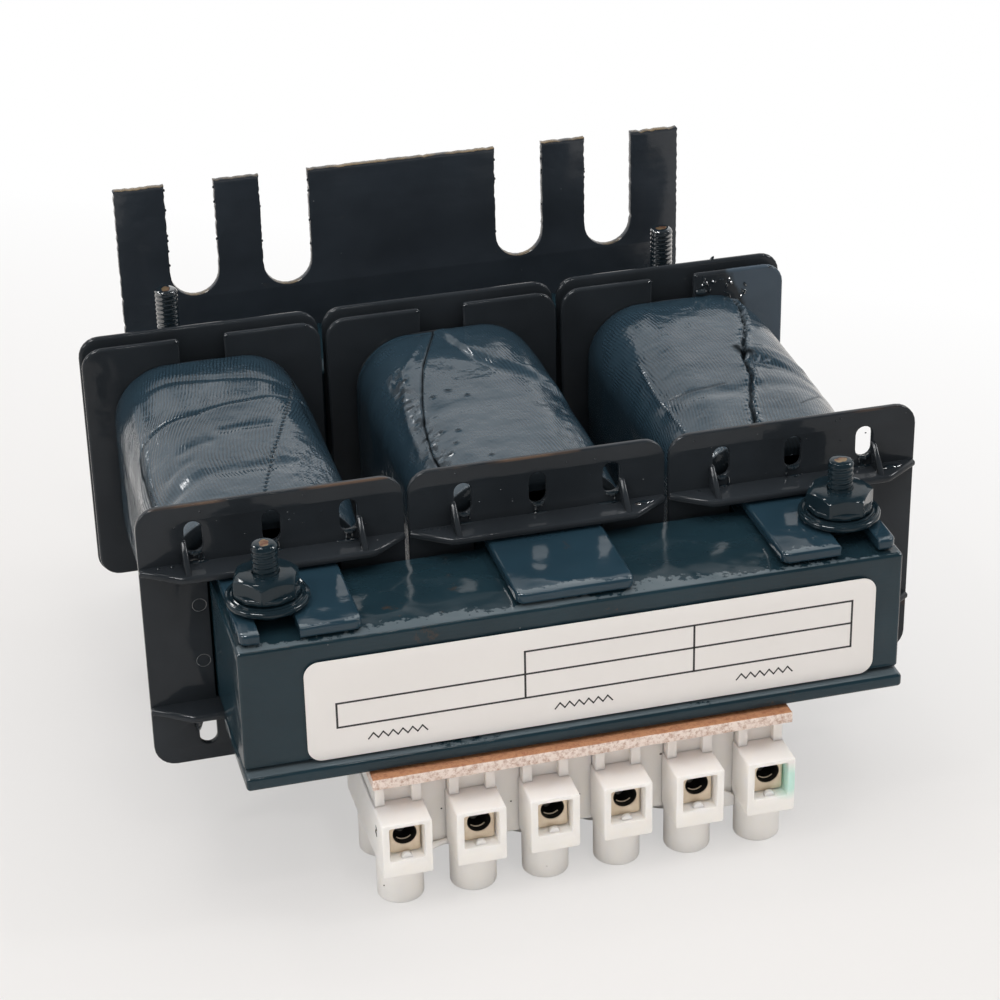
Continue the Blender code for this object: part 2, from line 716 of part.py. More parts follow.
screw_tip = bore_z - wire_bore / 2 + screw_reach
clamp_bottom = entry_z - clamp_height / 2
head_top = clamp_bottom - screw_head_gap
screw_length = screw_tip - head_top
screw_profile = [
    (0, screw_length),
    (screw_diameter / 2, screw_length),
    (screw_diameter / 2, 0),
    (screw_head_diameter / 2, 0),
    (screw_head_diameter / 2, -screw_head_height),
    (0, -screw_head_height),
]
screw = link("screw", turned("screw", screw_profile, 10), screw_metal, location=(0, 0, head_top))
slot = block("slot", (2 * screw_head_diameter, screw_slot_width, 2 * screw_slot_depth))
combine(screw, slot, "DIFFERENCE", (0, 0, -screw_head_height))
finished(screw)
screw_places = []
for index, x in poles:
    screw_places.append((f"terminal_screw_{index}_front", (x, front_screw_y, head_top)))
    screw_places.append((f"terminal_screw_{index}_rear", (x, rear_screw_y, head_top)))
copies(screw, screw_places)

# Rivets: through the housing's base, the board and the bracket strip

web_bottom = housing_top - web_height
rivet_top = bracket_top - seat
rivet_profile = [
    (0, rivet_top - web_bottom + seat),
    (rivet_diameter / 2, rivet_top - web_bottom + seat),
    (rivet_diameter / 2, 0),
    (rivet_head_diameter / 2, 0),
    (rivet_head_diameter / 2 * 0.8, -rivet_head_height * 0.7),
    (0, -rivet_head_height),
]
rivet = link("rivet", turned("rivet", rivet_profile, 12), clamp_metal)
finished(rivet)
copies(
    rivet,
    [("strip_rivet_left", (-rivet_x, pole_y, web_bottom - seat)), ("strip_rivet_right", (rivet_x, pole_y, web_bottom - seat))],
)

# Core bolts, washers and nuts with a captive tooth washer

bolt_profile = [
    (0, bolt_length),
    (bolt_diameter / 2 - bolt_tip, bolt_length),
    (bolt_diameter / 2, bolt_length - bolt_tip),
    (bolt_diameter / 2, -bolt_head_height / 2),
    (0, -bolt_head_height / 2),
]
bolt = link("bolt", turned("bolt", bolt_profile, 16), varnished_hardware)
hexagon = bolt_head_across / math.sqrt(3)
bolt_head = extrusion("bolt_head", [arc((0, 0), hexagon, 30, 390, 6)[:-1]], bolt_head_height)
combine(bolt, bolt_head, "UNION", (0, 0, -bolt_head_height / 2))
finished(bolt)

washer_loops = [circle(0, 0, washer_diameter, 24), circle(0, 0, bolt_diameter + 2 * seat, 16)]
washer = link("washer", extrusion("washer", washer_loops, washer_thickness), varnished_hardware)
finished(washer)

nut_corner = nut_across / math.sqrt(3)
nut_mesh = extrusion("nut", [arc((0, 0), nut_corner, 0, 360, 6)[:-1]], 2 * nut_height)
nut = link("nut", nut_mesh, varnished_hardware)
chamfer = nut_corner - nut_across / 2
dome = [
    (0, nut_height / 2),
    (nut_across / 2, nut_height / 2),
    (nut_corner + chamfer / 2, nut_height / 2 - chamfer),
    (nut_corner + chamfer / 2, -nut_height / 2),
    (0, -nut_height / 2),
]
combine(nut, turned("dome", dome, 18), "INTERSECT")
teeth = []
for tooth in range(tooth_count):
    middle = 360 / tooth_count * tooth
    quarter = 90 / tooth_count
    teeth += arc((0, 0), tooth_washer_diameter / 2, middle - quarter, middle + quarter, 1)
    teeth += arc((0, 0), tooth_washer_diameter / 2 - chamfer / 2, middle + 1.4 * quarter, middle + 2.6 * quarter, 1)
sink = nut_height / 6
tooth_washer = extrusion("tooth_washer", [teeth], tooth_washer_thickness + sink)
combine(nut, tooth_washer, "UNION", (0, 0, -(nut_height + tooth_washer_thickness - sink) / 2))
nut_bore = rod("nut_bore", bolt_diameter + 2 * seat, 4 * nut_height, 16)
combine(nut, nut_bore, "DIFFERENCE")
finished(nut)

front_head = bracket_bottom - seat
rear_head = -stack_top - seat
front_washer = stack_top + 2 * seat + wedge_thickness + washer_thickness / 2
rear_washer = stack_top + seat + washer_thickness / 2
nut_rise = washer_thickness / 2 + seat + tooth_washer_thickness + nut_height / 2
corners = [
    (f"{end}_{hand}", side * bolt_x, y, head_z, washer_z)
    for end, y, head_z, washer_z in (
        ("front", front_bolt_y, front_head, front_washer),
        ("rear", rear_bolt_y, rear_head, rear_washer),
    )
    for hand, side in (("left", -1), ("right", 1))
]
copies(bolt, [(f"bolt_{name}", (x, y, head_z)) for name, x, y, head_z, washer_z in corners])
copies(washer, [(f"washer_{name}", (x, y, washer_z)) for name, x, y, head_z, washer_z in corners])
copies(nut, [(f"nut_{name}", (x, y, washer_z + nut_rise)) for name, x, y, head_z, washer_z in corners])

# Leads: from the underside of each winding's tape, under the front flange, into the rear of the terminals

tape_bottom = bobbin_z - coil_height / 2 - seat


def bezier(a, b, c, d, t):
    return [a[k] * (1 - t) ** 3 + 3 * b[k] * t * (1 - t) ** 2 + 3 * c[k] * t * t * (1 - t) + d[k] * t ** 3 for k in range(3)]


def lead(name, pole_x, exit_x):
    rear_face = pole_front + pole_depth
    clear = coil_front
    start = (pole_x, rear_face - lead_insertion, bore_z)
    bend = (pole_x, clear, bore_z)
    end = (exit_x, clear + lead_run, tape_bottom)
    points = [start]
    steps = 8
    reach = lead_run * 0.45
    for i in range(steps + 1):
        points.append(
            bezier(bend, (pole_x, clear + reach, bore_z), (exit_x, clear + lead_run, tape_bottom - reach * 0.8), end, i / steps)
        )
    curve = bpy.data.curves.new(name, "CURVE")
    curve.dimensions = "3D"
    curve.bevel_depth = lead_diameter / 2
    curve.bevel_resolution = 2
    curve.use_fill_caps = True
    spline = curve.splines.new("POLY")
    spline.points.add(len(points) - 1)
    for point, place in zip(spline.points, points):
        point.co = (*place, 1)
    guide = link(name, curve, None, group=helpers)
    mesh = evaluated_mesh(guide)
    bpy.data.objects.remove(guide)
    sealed(mesh)
    return finished(link(name, mesh, sleeving), 60)


for phase_index, (phase, coil_x) in enumerate(phases):
    for hand, side in (("start", -1), ("finish", 1)):
        index, pole_x = poles[2 * phase_index + (side + 1) // 2]
        lead(f"lead_{phase}_{hand}", pole_x, coil_x + side * lead_spread)

# Label on the front yoke

label_outline = rounded_rectangle(label_width, label_height, label_corner, 5)
link(
    "rating_label",
    extrusion("rating_label", [label_outline], label_thickness, "Y"),
    label_film,
    location=(label_shift, -seat - label_thickness / 2, -label_drop),
)

# Everything hangs on one empty, which puts the origin on the mounting face

carrier = bpy.data.objects.new("line_reactor_carrier", None)
carrier.location = (0, -plate_rear, 0)
parts.objects.link(carrier)
for piece in parts.objects:
    if piece is not carrier:
        piece.parent = carrier
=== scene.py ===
"""Looks of a three-phase line reactor: a dip-varnished iron core with three taped coils on moulded bobbins,
a slotted mounting plate and a six-pole terminal strip. Lengths are in millimetres times MM, in the CAD's frame:
the origin is the middle of the mounting plate's back, the label faces -Y and +Z is up."""

import math

import bmesh
import bpy
import numpy as np
from mathutils import Matrix, Vector


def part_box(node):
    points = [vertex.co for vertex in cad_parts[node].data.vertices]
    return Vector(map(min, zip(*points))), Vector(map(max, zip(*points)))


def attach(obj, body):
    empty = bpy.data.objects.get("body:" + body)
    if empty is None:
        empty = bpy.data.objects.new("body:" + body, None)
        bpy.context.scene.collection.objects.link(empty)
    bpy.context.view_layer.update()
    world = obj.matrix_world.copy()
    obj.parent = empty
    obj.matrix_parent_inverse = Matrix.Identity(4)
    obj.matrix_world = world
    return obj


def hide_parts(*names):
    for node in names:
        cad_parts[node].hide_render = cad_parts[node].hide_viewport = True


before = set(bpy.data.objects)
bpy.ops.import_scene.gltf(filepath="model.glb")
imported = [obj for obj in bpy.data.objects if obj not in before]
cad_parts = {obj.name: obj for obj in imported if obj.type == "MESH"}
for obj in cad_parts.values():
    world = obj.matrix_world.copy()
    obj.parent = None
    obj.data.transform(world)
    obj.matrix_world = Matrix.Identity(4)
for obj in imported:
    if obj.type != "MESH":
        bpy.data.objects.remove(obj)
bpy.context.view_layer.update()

# Studio: a camera at the photograph's angle, a pale floor that the object rests on with the lower edge of its
# plate and its front towers, so that it leans by 1.7 degrees, and soft light from large panels.

MM = 0.001
scene = bpy.context.scene
scene.view_settings.view_transform = "Standard"

looking = Vector((0.2199, 0.8542, -0.4711)).normalized()
camera_roll = 0.0215
level = Vector((looking.y, -looking.x, 0)).normalized()
below = looking.cross(level)
right = math.cos(camera_roll) * level + math.sin(camera_roll) * below
down = math.cos(camera_roll) * below - math.sin(camera_roll) * level
camera_data = bpy.data.cameras.new("camera")
camera_data.sensor_width = 36
camera_data.lens = 101.84
camera_data.clip_start = 0.01
camera_data.clip_end = 20
camera = bpy.data.objects.new("camera", camera_data)
turn = Matrix((right, -down, -looking)).transposed().to_4x4()
camera.matrix_world = Matrix.Translation((-88.0 * MM, -399.1 * MM, 192.0 * MM)) @ turn
scene.collection.objects.link(camera)
scene.camera = camera


def node(tree, kind, **inputs):
    """A shader node; keywords that name a property set it, the others set or link an input."""
    made = tree.nodes.new(kind)
    for name, value in inputs.items():
        if hasattr(made, name):
            setattr(made, name, value)
            continue
        socket = made.inputs[int(name[1:])] if name[0] == "_" else made.inputs[name.replace("_", " ")]
        if isinstance(value, bpy.types.NodeSocket):
            tree.links.new(value, socket)
        else:
            socket.default_value = value
    return made


def maths(tree, operation, *values):
    numbered = {f"_{index}": value for index, value in enumerate(values)}
    return node(tree, "ShaderNodeMath", operation=operation, **numbered).outputs[0]


def graded(tree, value, start, end, low=0.0, high=1.0):
    """A value brought from the range of start to end to that of low to high, and held inside it."""
    ends = {"From_Min": start, "From_Max": end, "To_Min": low, "To_Max": high}
    return node(tree, "ShaderNodeMapRange", Value=value, **ends).outputs[0]


def between(tree, share, first, second, mode="MIX"):
    """A colour mixed from two by a share; each is a node's colour or three numbers."""
    first, second = (end if isinstance(end, bpy.types.NodeSocket) else (*end, 1) for end in (first, second))
    mix = node(tree, "ShaderNodeMix", data_type="RGBA", blend_type=mode, Factor=share, A=first, B=second)
    return mix.outputs["Result"]


def spot(tree, kind="Object"):
    """Where a point lies on the object, or another output of the same node, such as its normal."""
    return node(tree, "ShaderNodeTexCoord").outputs[kind]


def finish_of(name):
    """A new material with its Principled shader; returns the material, its node tree and the shader."""
    made = bpy.data.materials.new(name)
    made.use_nodes = True
    return made, made.node_tree, made.node_tree.nodes["Principled BSDF"]


def linked(name, mesh, *materials):
    made = bpy.data.objects.new(name, mesh)
    scene.collection.objects.link(made)
    for material in materials:
        made.data.materials.append(material)
    return made


floor_paint, tree, shader = finish_of("floor_paper")
shader.inputs["Base Color"].default_value = (0.81, 0.79, 0.77, 1)
shader.inputs["Roughness"].default_value = 0.75
shader.inputs["Specular IOR Level"].default_value = 0.2
place = node(tree, "ShaderNodeSeparateXYZ", Vector=spot(tree))
across = maths(tree, "MULTIPLY_ADD", place.outputs["X"], 0.75, place.outputs["Y"])
sweep = graded(tree, across, -0.06, 0.16, 0.60, 1.0)
lit_tone = between(tree, sweep, (0.58, 0.555, 0.54), (1, 1, 1))
lit = node(tree, "ShaderNodeEmission", Color=lit_tone)
camera_side = node(tree, "ShaderNodeLightPath")
share = maths(tree, "MULTIPLY", camera_side.outputs["Is Camera Ray"], sweep)
swept = node(tree, "ShaderNodeMixShader", _0=share, _1=shader.outputs[0], _2=lit.outputs[0])
tree.links.new(swept.outputs[0], tree.nodes["Material Output"].inputs["Surface"])
plate_foot_y, plate_foot_z = -1.2 * MM, -34.15 * MM
tower_foot_y, tower_foot_z = -100.05 * MM, -31.25 * MM
floor_slope = (plate_foot_z - tower_foot_z) / (plate_foot_y - tower_foot_y)
floor_reach = 6.0
floor_corners = [(x * floor_reach, y * floor_reach) for x, y in ((-1, -1), (1, -1), (1, 1), (-1, 1))]
floor_verts = [(x, y, plate_foot_z + floor_slope * (y - plate_foot_y)) for x, y in floor_corners]
floor_mesh = bpy.data.meshes.new("floor")
floor_mesh.from_pydata(floor_verts, [], [(0, 1, 2, 3)])
floor = linked("floor", floor_mesh, floor_paint)

world = bpy.data.worlds.new("studio")
scene.world = world
world.use_nodes = True
tree = world.node_tree
room = tree.nodes["Background"]
room.inputs["Color"].default_value = (1.0, 0.975, 0.955, 1)
room.inputs["Strength"].default_value = 0.72
way = node(tree, "ShaderNodeSeparateXYZ", Vector=spot(tree, "Generated"))
under_ceiling = graded(tree, way.outputs["Z"], 0.55, 0.72, 1.0, 0.10)
behind = graded(tree, way.outputs["Y"], -0.30, 0.0, 0.12, 1.0)
screen = maths(tree, "MULTIPLY", under_ceiling, behind)
seen_by = node(tree, "ShaderNodeLightPath")
screen = maths(tree, "MAXIMUM", screen, seen_by.outputs["Is Camera Ray"])
white = node(tree, "ShaderNodeBackground", Color=(1, 1, 1, 1), Strength=screen)
mirrored = maths(tree, "MAXIMUM", seen_by.outputs["Is Glossy Ray"], seen_by.outputs["Is Transmission Ray"])
backdrop = maths(tree, "MAXIMUM", seen_by.outputs["Is Camera Ray"], mirrored)
choice = node(tree, "ShaderNodeMixShader", _0=backdrop, _1=room.outputs[0], _2=white.outputs[0])
tree.links.new(choice.outputs[0], tree.nodes["World Output"].inputs["Surface"])


def panel(name, place, aim, size, power, colour=(1, 1, 1)):
    """A soft light panel that faces a point."""
    light = bpy.data.lights.new(name, "AREA")
    light.shape = "RECTANGLE"
    light.size, light.size_y = size
    light.energy = power
    light.color = colour
    made = bpy.data.objects.new(name, light)
    made.location = place
    made.rotation_euler = (Vector(aim) - Vector(place)).to_track_quat("-Z", "Y").to_euler()
    scene.collection.objects.link(made)
    return made


middle = (0, -0.05, 0)
overhead = panel("panel_above", (0.10, 0.10, 1.0), middle, (1.0, 0.9), 3.6)
overhead.visible_glossy = False
low_fill = panel("fill_left", (-0.65, -0.16, 0.05), (0, -0.08, -0.02), (0.34, 0.20), 0.38)
low_fill.visible_glossy = False
glints = (
    ((-0.42, -0.34, 0.88), (0.40, 0.30), 10),
    ((-0.85, -0.16, 0.50), (0.26, 0.26), 4),
    ((0.85, -0.20, 0.55), (0.26, 0.26), 4),
    ((-0.40, 0.60, 0.70), (0.20, 0.14), 2),
)
for index, (place, size, power) in enumerate(glints):
    softbox = panel(f"softbox_{index}", place, middle, size, power)
    softbox.visible_diffuse = False
strips = (
    ("left", (-0.50, -0.30, 0.70), (0.10, 0.03), 0.75),
    ("right", (0.50, -0.15, 0.70), (0.10, 0.03), 0.75),
    ("front", (0.05, -0.45, 0.80), (0.14, 0.03), 0.6),
    ("rear", (-0.15, 0.30, 0.85), (0.10, 0.03), 0.35),
)
for side, place, size, power in strips:
    panel(f"strip_{side}", place, middle, size, power, (1.0, 0.98, 0.96))

# Iron core: an E of sheets whose yoke carries the label, and an I behind the legs, both stacked along Z. The
# sheets are clamped by the bolts and the whole stack is dipped in dark blue varnish, which rounds its edges and
# nearly fills the joints between the sheets.


def arc(centre, radius, start, end, steps):
    """Points on an arc, angles in degrees."""
    turns = [math.radians(start + (end - start) * i / steps) for i in range(steps + 1)]
    return [(centre[0] + radius * math.cos(a), centre[1] + radius * math.sin(a)) for a in turns]


def rounded_rectangle(width, height, radius, steps=6, middle=(0, 0)):
    w, h = width / 2 - radius, height / 2 - radius
    corners = ((w, h, 0), (-w, h, 90), (-w, -h, 180), (w, -h, 270))
    return [p for x, y, t in corners for p in arc((middle[0] + x, middle[1] + y), radius, t, t + 90, steps)]


def as_mesh(name, work):
    mesh = bpy.data.meshes.new(name)
    work.to_mesh(mesh)
    work.free()
    return mesh


def closed_mesh(name, work):
    """The worked faces as a mesh, all of them turned outward."""
    bmesh.ops.recalc_face_normals(work, faces=work.faces)
    return as_mesh(name, work)


def drawn_mesh(body, *others):
    """An object's mesh with its modifiers applied; the object and the others that it used are removed."""
    mesh = bpy.data.meshes.new_from_object(body.evaluated_get(bpy.context.evaluated_depsgraph_get()))
    for used in (body, *others):
        bpy.data.objects.remove(used)
    return mesh


def join_rings(work, rings):
    """Faces between each closed ring of vertices and the next one."""
    for ring, following in zip(rings, rings[1:]):
        for i in range(len(ring)):
            work.faces.new((ring[i - 1], ring[i], following[i], following[i - 1]))


def middle_of(low, high):
    """The middle of a box, as x, y and z."""
    return [(a + b) / 2 for a, b in zip(low, high)]


def set_up(mesh, name, facing, place):
    """Stand a flat mesh up the way facing says, weld it and put it in place."""
    turns = {
        "Z": Matrix.Identity(4),
        "Y": Matrix.Rotation(math.radians(90), 4, "X"),
        "X": Matrix.Rotation(math.radians(90), 4, "Z") @ Matrix.Rotation(math.radians(90), 4, "X"),
    }
    mesh.transform(Matrix.Translation(place) @ turns[facing])
    work = bmesh.new()
    work.from_mesh(mesh)
    bmesh.ops.remove_doubles(work, verts=work.verts, dist=1e-7)
    bmesh.ops.recalc_face_normals(work, faces=work.faces)
    work.to_mesh(mesh)
    work.free()
    mesh.name = name
    return mesh


def plate_with_edges(name, loops, thickness, edge, facing="Z", place=(0, 0, 0), steps=3):
    """A plate with rounded edges: closed outlines (the later ones are holes) in the plane that facing names."""
    curve = bpy.data.curves.new(name, "CURVE")
    curve.dimensions = "2D"
    curve.fill_mode = "BOTH"
    curve.extrude = thickness / 2 - edge
    curve.bevel_depth = edge
    curve.bevel_resolution = steps - 1
    curve.offset = -edge
    for loop in loops:
        spline = curve.splines.new("POLY")
        spline.points.add(len(loop) - 1)
        for point, (x, y) in zip(spline.points, loop):
            point.co = (x, y, 0, 1)
        spline.use_cyclic_u = True
    guide = linked(name, curve)
    mesh = drawn_mesh(guide)
    return set_up(mesh, name, facing, place)


def together(name, meshes, smooth_angle=40):
    """Several meshes as one mesh, smooth over gentle edges."""
    work = bmesh.new()
    for mesh in meshes:
        work.from_mesh(mesh)
    made = as_mesh(name, work)
    made.shade_smooth()
    made.set_sharp_from_angle(angle=math.radians(smooth_angle))
    return made


def without(name, mesh, cutter_meshes):
    """The mesh with closed cutters taken out of it."""
    body = linked(name, mesh)
    tools = [linked(f"{name}_cutter", cutter) for cutter in cutter_meshes]
    for tool in tools:
        cut = body.modifiers.new("cut", "BOOLEAN")
        cut.object = tool
        cut.operation = "DIFFERENCE"
    return drawn_mesh(body, *tools)


def rod(name, diameter, length, place, steps=32):
    work = bmesh.new()
    radii = {"radius1": diameter / 2, "radius2": diameter / 2}
    bmesh.ops.create_cone(work, cap_ends=True, segments=steps, depth=length, **radii)
    mesh = as_mesh(name, work)
    mesh.transform(Matrix.Translation(place))
    return mesh


def noise(tree, place, scale, detail, roughness=0.5):
    cloud = node(tree, "ShaderNodeTexNoise", Vector=place, Scale=scale, Detail=detail, Roughness=roughness)
    return cloud.outputs["Fac"]


def roughen(tree, shader, height, strength, distance):
    """Fine relief on a shader, laid over any that it has."""
    normal = shader.inputs["Normal"]
    relief = node(tree, "ShaderNodeBump", Height=height, Strength=strength, Distance=distance)
    if normal.links:
        tree.links.new(normal.links[0].from_socket, relief.inputs["Normal"])
    tree.links.new(relief.outputs[0], normal)


def dip_varnish(name, colour, roughness, sag, haze=0.5, gleam=0.36, bare=(0.05, 0.035, 0.025), bare_share=0.0):
    """Dark blue dip varnish: uneven in tone, with soft sags, a faint orange peel, dust, and thin brown spots."""
    made, tree, shader = finish_of(name)
    place = spot(tree)
    cloud = noise(tree, place, 70, 3)
    tone = between(tree, cloud, [c * 0.55 for c in colour], [c * 1.5 for c in colour])
    thin = noise(tree, place, 160, 6, 0.7)
    thin = graded(tree, thin, 0.66 - bare_share, 0.74 - bare_share, 0.0, 0.9)
    worn = between(tree, thin, tone, bare)
    dust = node(tree, "ShaderNodeTexVoronoi", Vector=place, Scale=420, Randomness=1.0).outputs["Distance"]
    dust = graded(tree, dust, 0.05, 0.03)
    few = noise(tree, place, 300, 0)
    few = graded(tree, few, 0.6, 0.68, 0.0, 0.6)
    speck = maths(tree, "MULTIPLY", dust, few)
    dusty = between(tree, speck, worn, (0.25, 0.26, 0.27))
    tree.links.new(dusty, shader.inputs["Base Color"])
    streaks = noise(tree, place, 45, 5, 0.65)
    gloss = graded(tree, streaks, 0.35, 0.68, roughness * (1 - haze * 0.5), roughness * (1 + haze))
    tree.links.new(gloss, shader.inputs["Roughness"])
    slow = noise(tree, place, 110, 2)
    fine = noise(tree, place, 1100, 3)
    roughen(tree, shader, slow, 1.0, sag * MM * 10)
    roughen(tree, shader, fine, 0.35, 0.05 * MM)
    shader.inputs["Specular IOR Level"].default_value = gleam
    return made


core_varnish = dip_varnish(
    "core_varnish", (0.011, 0.027, 0.037), 0.11, sag=0.06, haze=0.8, gleam=0.30, bare_share=0.02
)


def painted_reflection_band(material, edge_y, depth, colour):
    """Painted reflection: ragged lighter patches on a material's upper faces, along a front edge at edge_y."""
    tree = material.node_tree
    shader = tree.nodes["Principled BSDF"]
    below = shader.inputs["Base Color"].links[0].from_socket
    place = spot(tree)
    way = node(tree, "ShaderNodeSeparateXYZ", Vector=place)
    up = node(tree, "ShaderNodeSeparateXYZ", Vector=spot(tree, "Normal"))
    up = graded(tree, up.outputs["Z"], 0.80, 0.95)
    band = graded(tree, way.outputs["Y"], edge_y, edge_y + depth, 0.72, 0.0)
    broad = noise(tree, place, 75, 1)
    fine = noise(tree, place, 900, 4, 0.6)
    ragged = maths(tree, "MULTIPLY_ADD", fine, 0.9, band)
    ragged = maths(tree, "MULTIPLY_ADD", broad, 1.2, ragged)
    painted_sheen_or_label_film = graded(tree, ragged, 1.45, 1.53, 0.0, 0.9)
    painted_sheen_or_label_film = maths(tree, "MULTIPLY", painted_sheen_or_label_film, up)
    with_painted_reflection = between(tree, painted_sheen_or_label_film, below, colour)
    tree.links.new(with_painted_reflection, shader.inputs["Base Color"])


def stack_of_sheets(name, outline, bottom, top, sheets, joint):
    """A prism with a fine groove at each joint between sheets, and rounded upper and lower edges."""
    count = len(outline)
    normals = []
    for i in range(count):
        before, here, after = (Vector(outline[j % count]) for j in (i - 1, i, i + 1))
        one, two = (here - before).normalized(), (after - here).normalized()
        left = Vector((one.y, -one.x)) + Vector((two.y, -two.x))
        normals.append(left / max(0.3, 1 + one.dot(two)))
    levels = [(bottom, 0.45), (bottom + 0.12 * MM, 0.14), (bottom + 0.4 * MM, 0)]
    pitch = (top - bottom) / sheets
    for i in range(1, sheets):
        z = bottom + i * pitch
        levels += [(z - pitch * 0.22, 0), (z, joint), (z + pitch * 0.22, 0)]
    levels += [(top - 0.4 * MM, 0), (top - 0.12 * MM, 0.14), (top, 0.45)]
    work = bmesh.new()
    rings = []
    for z, inset in levels:
        drawn_in = [(x - n.x * inset * MM, y - n.y * inset * MM, z) for (x, y), n in zip(outline, normals)]
        rings.append([work.verts.new(place) for place in drawn_in])
    join_rings(work, rings)
    work.faces.new(list(reversed(rings[0])))
    work.faces.new(rings[-1])
    return closed_mesh(name, work)


core_low, core_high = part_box("core_e_stack")
i_low, i_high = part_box("core_i_stack")
leg_width, yoke_depth, bolt_inset = 17.2 * MM, 17.8 * MM, 5.8 * MM
leg_pitch = (core_high.x - core_low.x - leg_width) / 2
corner = 0.5 * MM
# Painted reflection: lighter patches along the yoke's top front edge stand for the backdrop in its varnish.
painted_reflection_band(core_varnish, core_low.y, 4.4 * MM, (0.108, 0.138, 0.156))
yoke_rear = core_low.y + yoke_depth
e_outline = arc((core_low.x + corner, core_low.y + corner), corner, 180, 270, 3)
e_outline += arc((core_high.x - corner, core_low.y + corner), corner, 270, 360, 3)
for leg_x in (leg_pitch, 0.0, -leg_pitch):
    e_outline += [(leg_x + leg_width / 2, core_high.y), (leg_x - leg_width / 2, core_high.y)]
    if leg_x > -leg_pitch:
        e_outline += [(leg_x - leg_width / 2, yoke_rear), (leg_x - leg_pitch + leg_width / 2, yoke_rear)]
_, i_middle_y, _ = middle_of(i_low, i_high)
i_outline = rounded_rectangle(i_high.x - i_low.x, i_high.y - i_low.y, corner, 3, (0, i_middle_y))
bolt_x = core_high.x - bolt_inset
front_bolt_y = core_low.y + yoke_depth / 2
rear_bolt_y = i_high.y - yoke_depth / 2
bolt_hole = 4.3 * MM
sheet_count, joint_depth = 35, 0.012
stacks = {"core_e_stack": (e_outline, front_bolt_y), "core_i_stack": (i_outline, rear_bolt_y)}
for node_name, (outline, bolt_y) in stacks.items():
    sheets = stack_of_sheets(node_name, outline, core_low.z, core_high.z, sheet_count, joint_depth)
    holes = [rod("hole", bolt_hole, 30 * MM, (side * bolt_x, bolt_y, 0)) for side in (-1, 1)]
    sheets = together(node_name, [without(node_name, sheets, holes)], 50)
    core = linked(node_name.replace("stack", "sheets"), sheets, core_varnish)
    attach(core, "root")
    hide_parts(node_name)

def coat(tree, shader, colour, roughness, metallic=0.0):
    """A shader's colour from a node, with its even roughness and share of metal."""
    tree.links.new(colour, shader.inputs["Base Color"])
    shader.inputs["Roughness"].default_value = roughness
    shader.inputs["Metallic"].default_value = metallic


card_face, tree, shader = finish_of("pressboard")
fibres = noise(tree, spot(tree), 900, 4)
coat(tree, shader, between(tree, fibres, (0.22, 0.14, 0.07), (0.42, 0.30, 0.18)), 0.85)
roughen(tree, shader, fibres, 0.5, 0.05 * MM)
for phase in ("left", "middle", "right"):
    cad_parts[f"gap_card_{phase}"].material_slots[0].material = card_face

# Bobbins: moulded nylon, each a square tube between a front flange, whose ledges are folded over the yoke and
# stiffened by gussets, and a double rear flange with a notch for the wire. All are coated with the dip varnish.

bobbin_varnish = dip_varnish(
    "bobbin_varnish", (0.022, 0.0262, 0.031), 0.09, 0.03, gleam=0.17, bare=(0.10, 0.045, 0.02), bare_share=-0.02
)
phases = (("left", -leg_pitch), ("middle", 0.0), ("right", leg_pitch))


def oblong(x, y, width, height, steps=8):
    reach = (height - width) / 2
    return arc((x, y + reach), width / 2, 0, 180, steps) + arc((x, y - reach), width / 2, 180, 360, steps)


def run_of_varnish(place, points, thickness, flat=1.0, closed=False):
    """A hardened run, bead or pool: a soft round thread through points of x, y, z in millimetres and a share."""
    curve = bpy.data.curves.new("run", "CURVE")
    curve.dimensions = "3D"
    curve.bevel_depth = thickness / 2 * MM
    curve.bevel_resolution = 2
    curve.use_fill_caps = True
    spline = curve.splines.new("NURBS")
    spline.points.add(len(points) - 1)
    for point, (x, y, z, share) in zip(spline.points, points):
        point.co = (x * MM, y * MM, z * MM, 1)
        point.radius = share
    spline.order_u = 3
    spline.resolution_u = 4
    spline.use_endpoint_u = not closed
    spline.use_cyclic_u = closed
    guide = linked("run", curve)
    mesh = drawn_mesh(guide)
    mesh.transform(Matrix.Translation(place) @ Matrix.Diagonal((1, 1, flat, 1)))
    return set_up(mesh, "run", "Z", (0, 0, 0))


def slot_drips(x, y, z, draws):
    """Varnish that gathered in the lower end of a slot and ran down to the ledge."""
    width = draws.uniform(0.6, 1.0)
    sill = [(-width, 0, 0.25, 0.4), (-0.3, -0.1, 0, 1), (0.4, -0.12, 0.02, 0.9), (width, 0, 0.3, 0.4)]
    made = [run_of_varnish((x, y, z), sill, 0.75)]
    for _ in range(int(draws.integers(1, 4))):
        dx, fall = draws.uniform(-1.1, 1.1), draws.uniform(0.7, 1.5)
        drop = [(dx, 0, 0, 0.4), (dx + 0.05, -0.1, -0.5 * fall, 0.6)]
        drop += [(dx, -0.12, -0.85 * fall, 1), (dx, 0, -fall, 0.4)]
        made.append(run_of_varnish((x, y, z), drop, draws.uniform(0.3, 0.5)))
    foot = draws.uniform(0.8, 1.6)
    pool = [(-foot, 0.1, 0, 0.3), (-foot / 3, -0.15, 0, 1), (foot / 2, -0.1, 0, 0.8), (foot, 0.1, 0, 0.3)]
    made.append(run_of_varnish((x + draws.uniform(-0.5, 0.5) * MM, y - 0.15 * MM, z - 1.25 * MM), pool, 0.6))
    return made


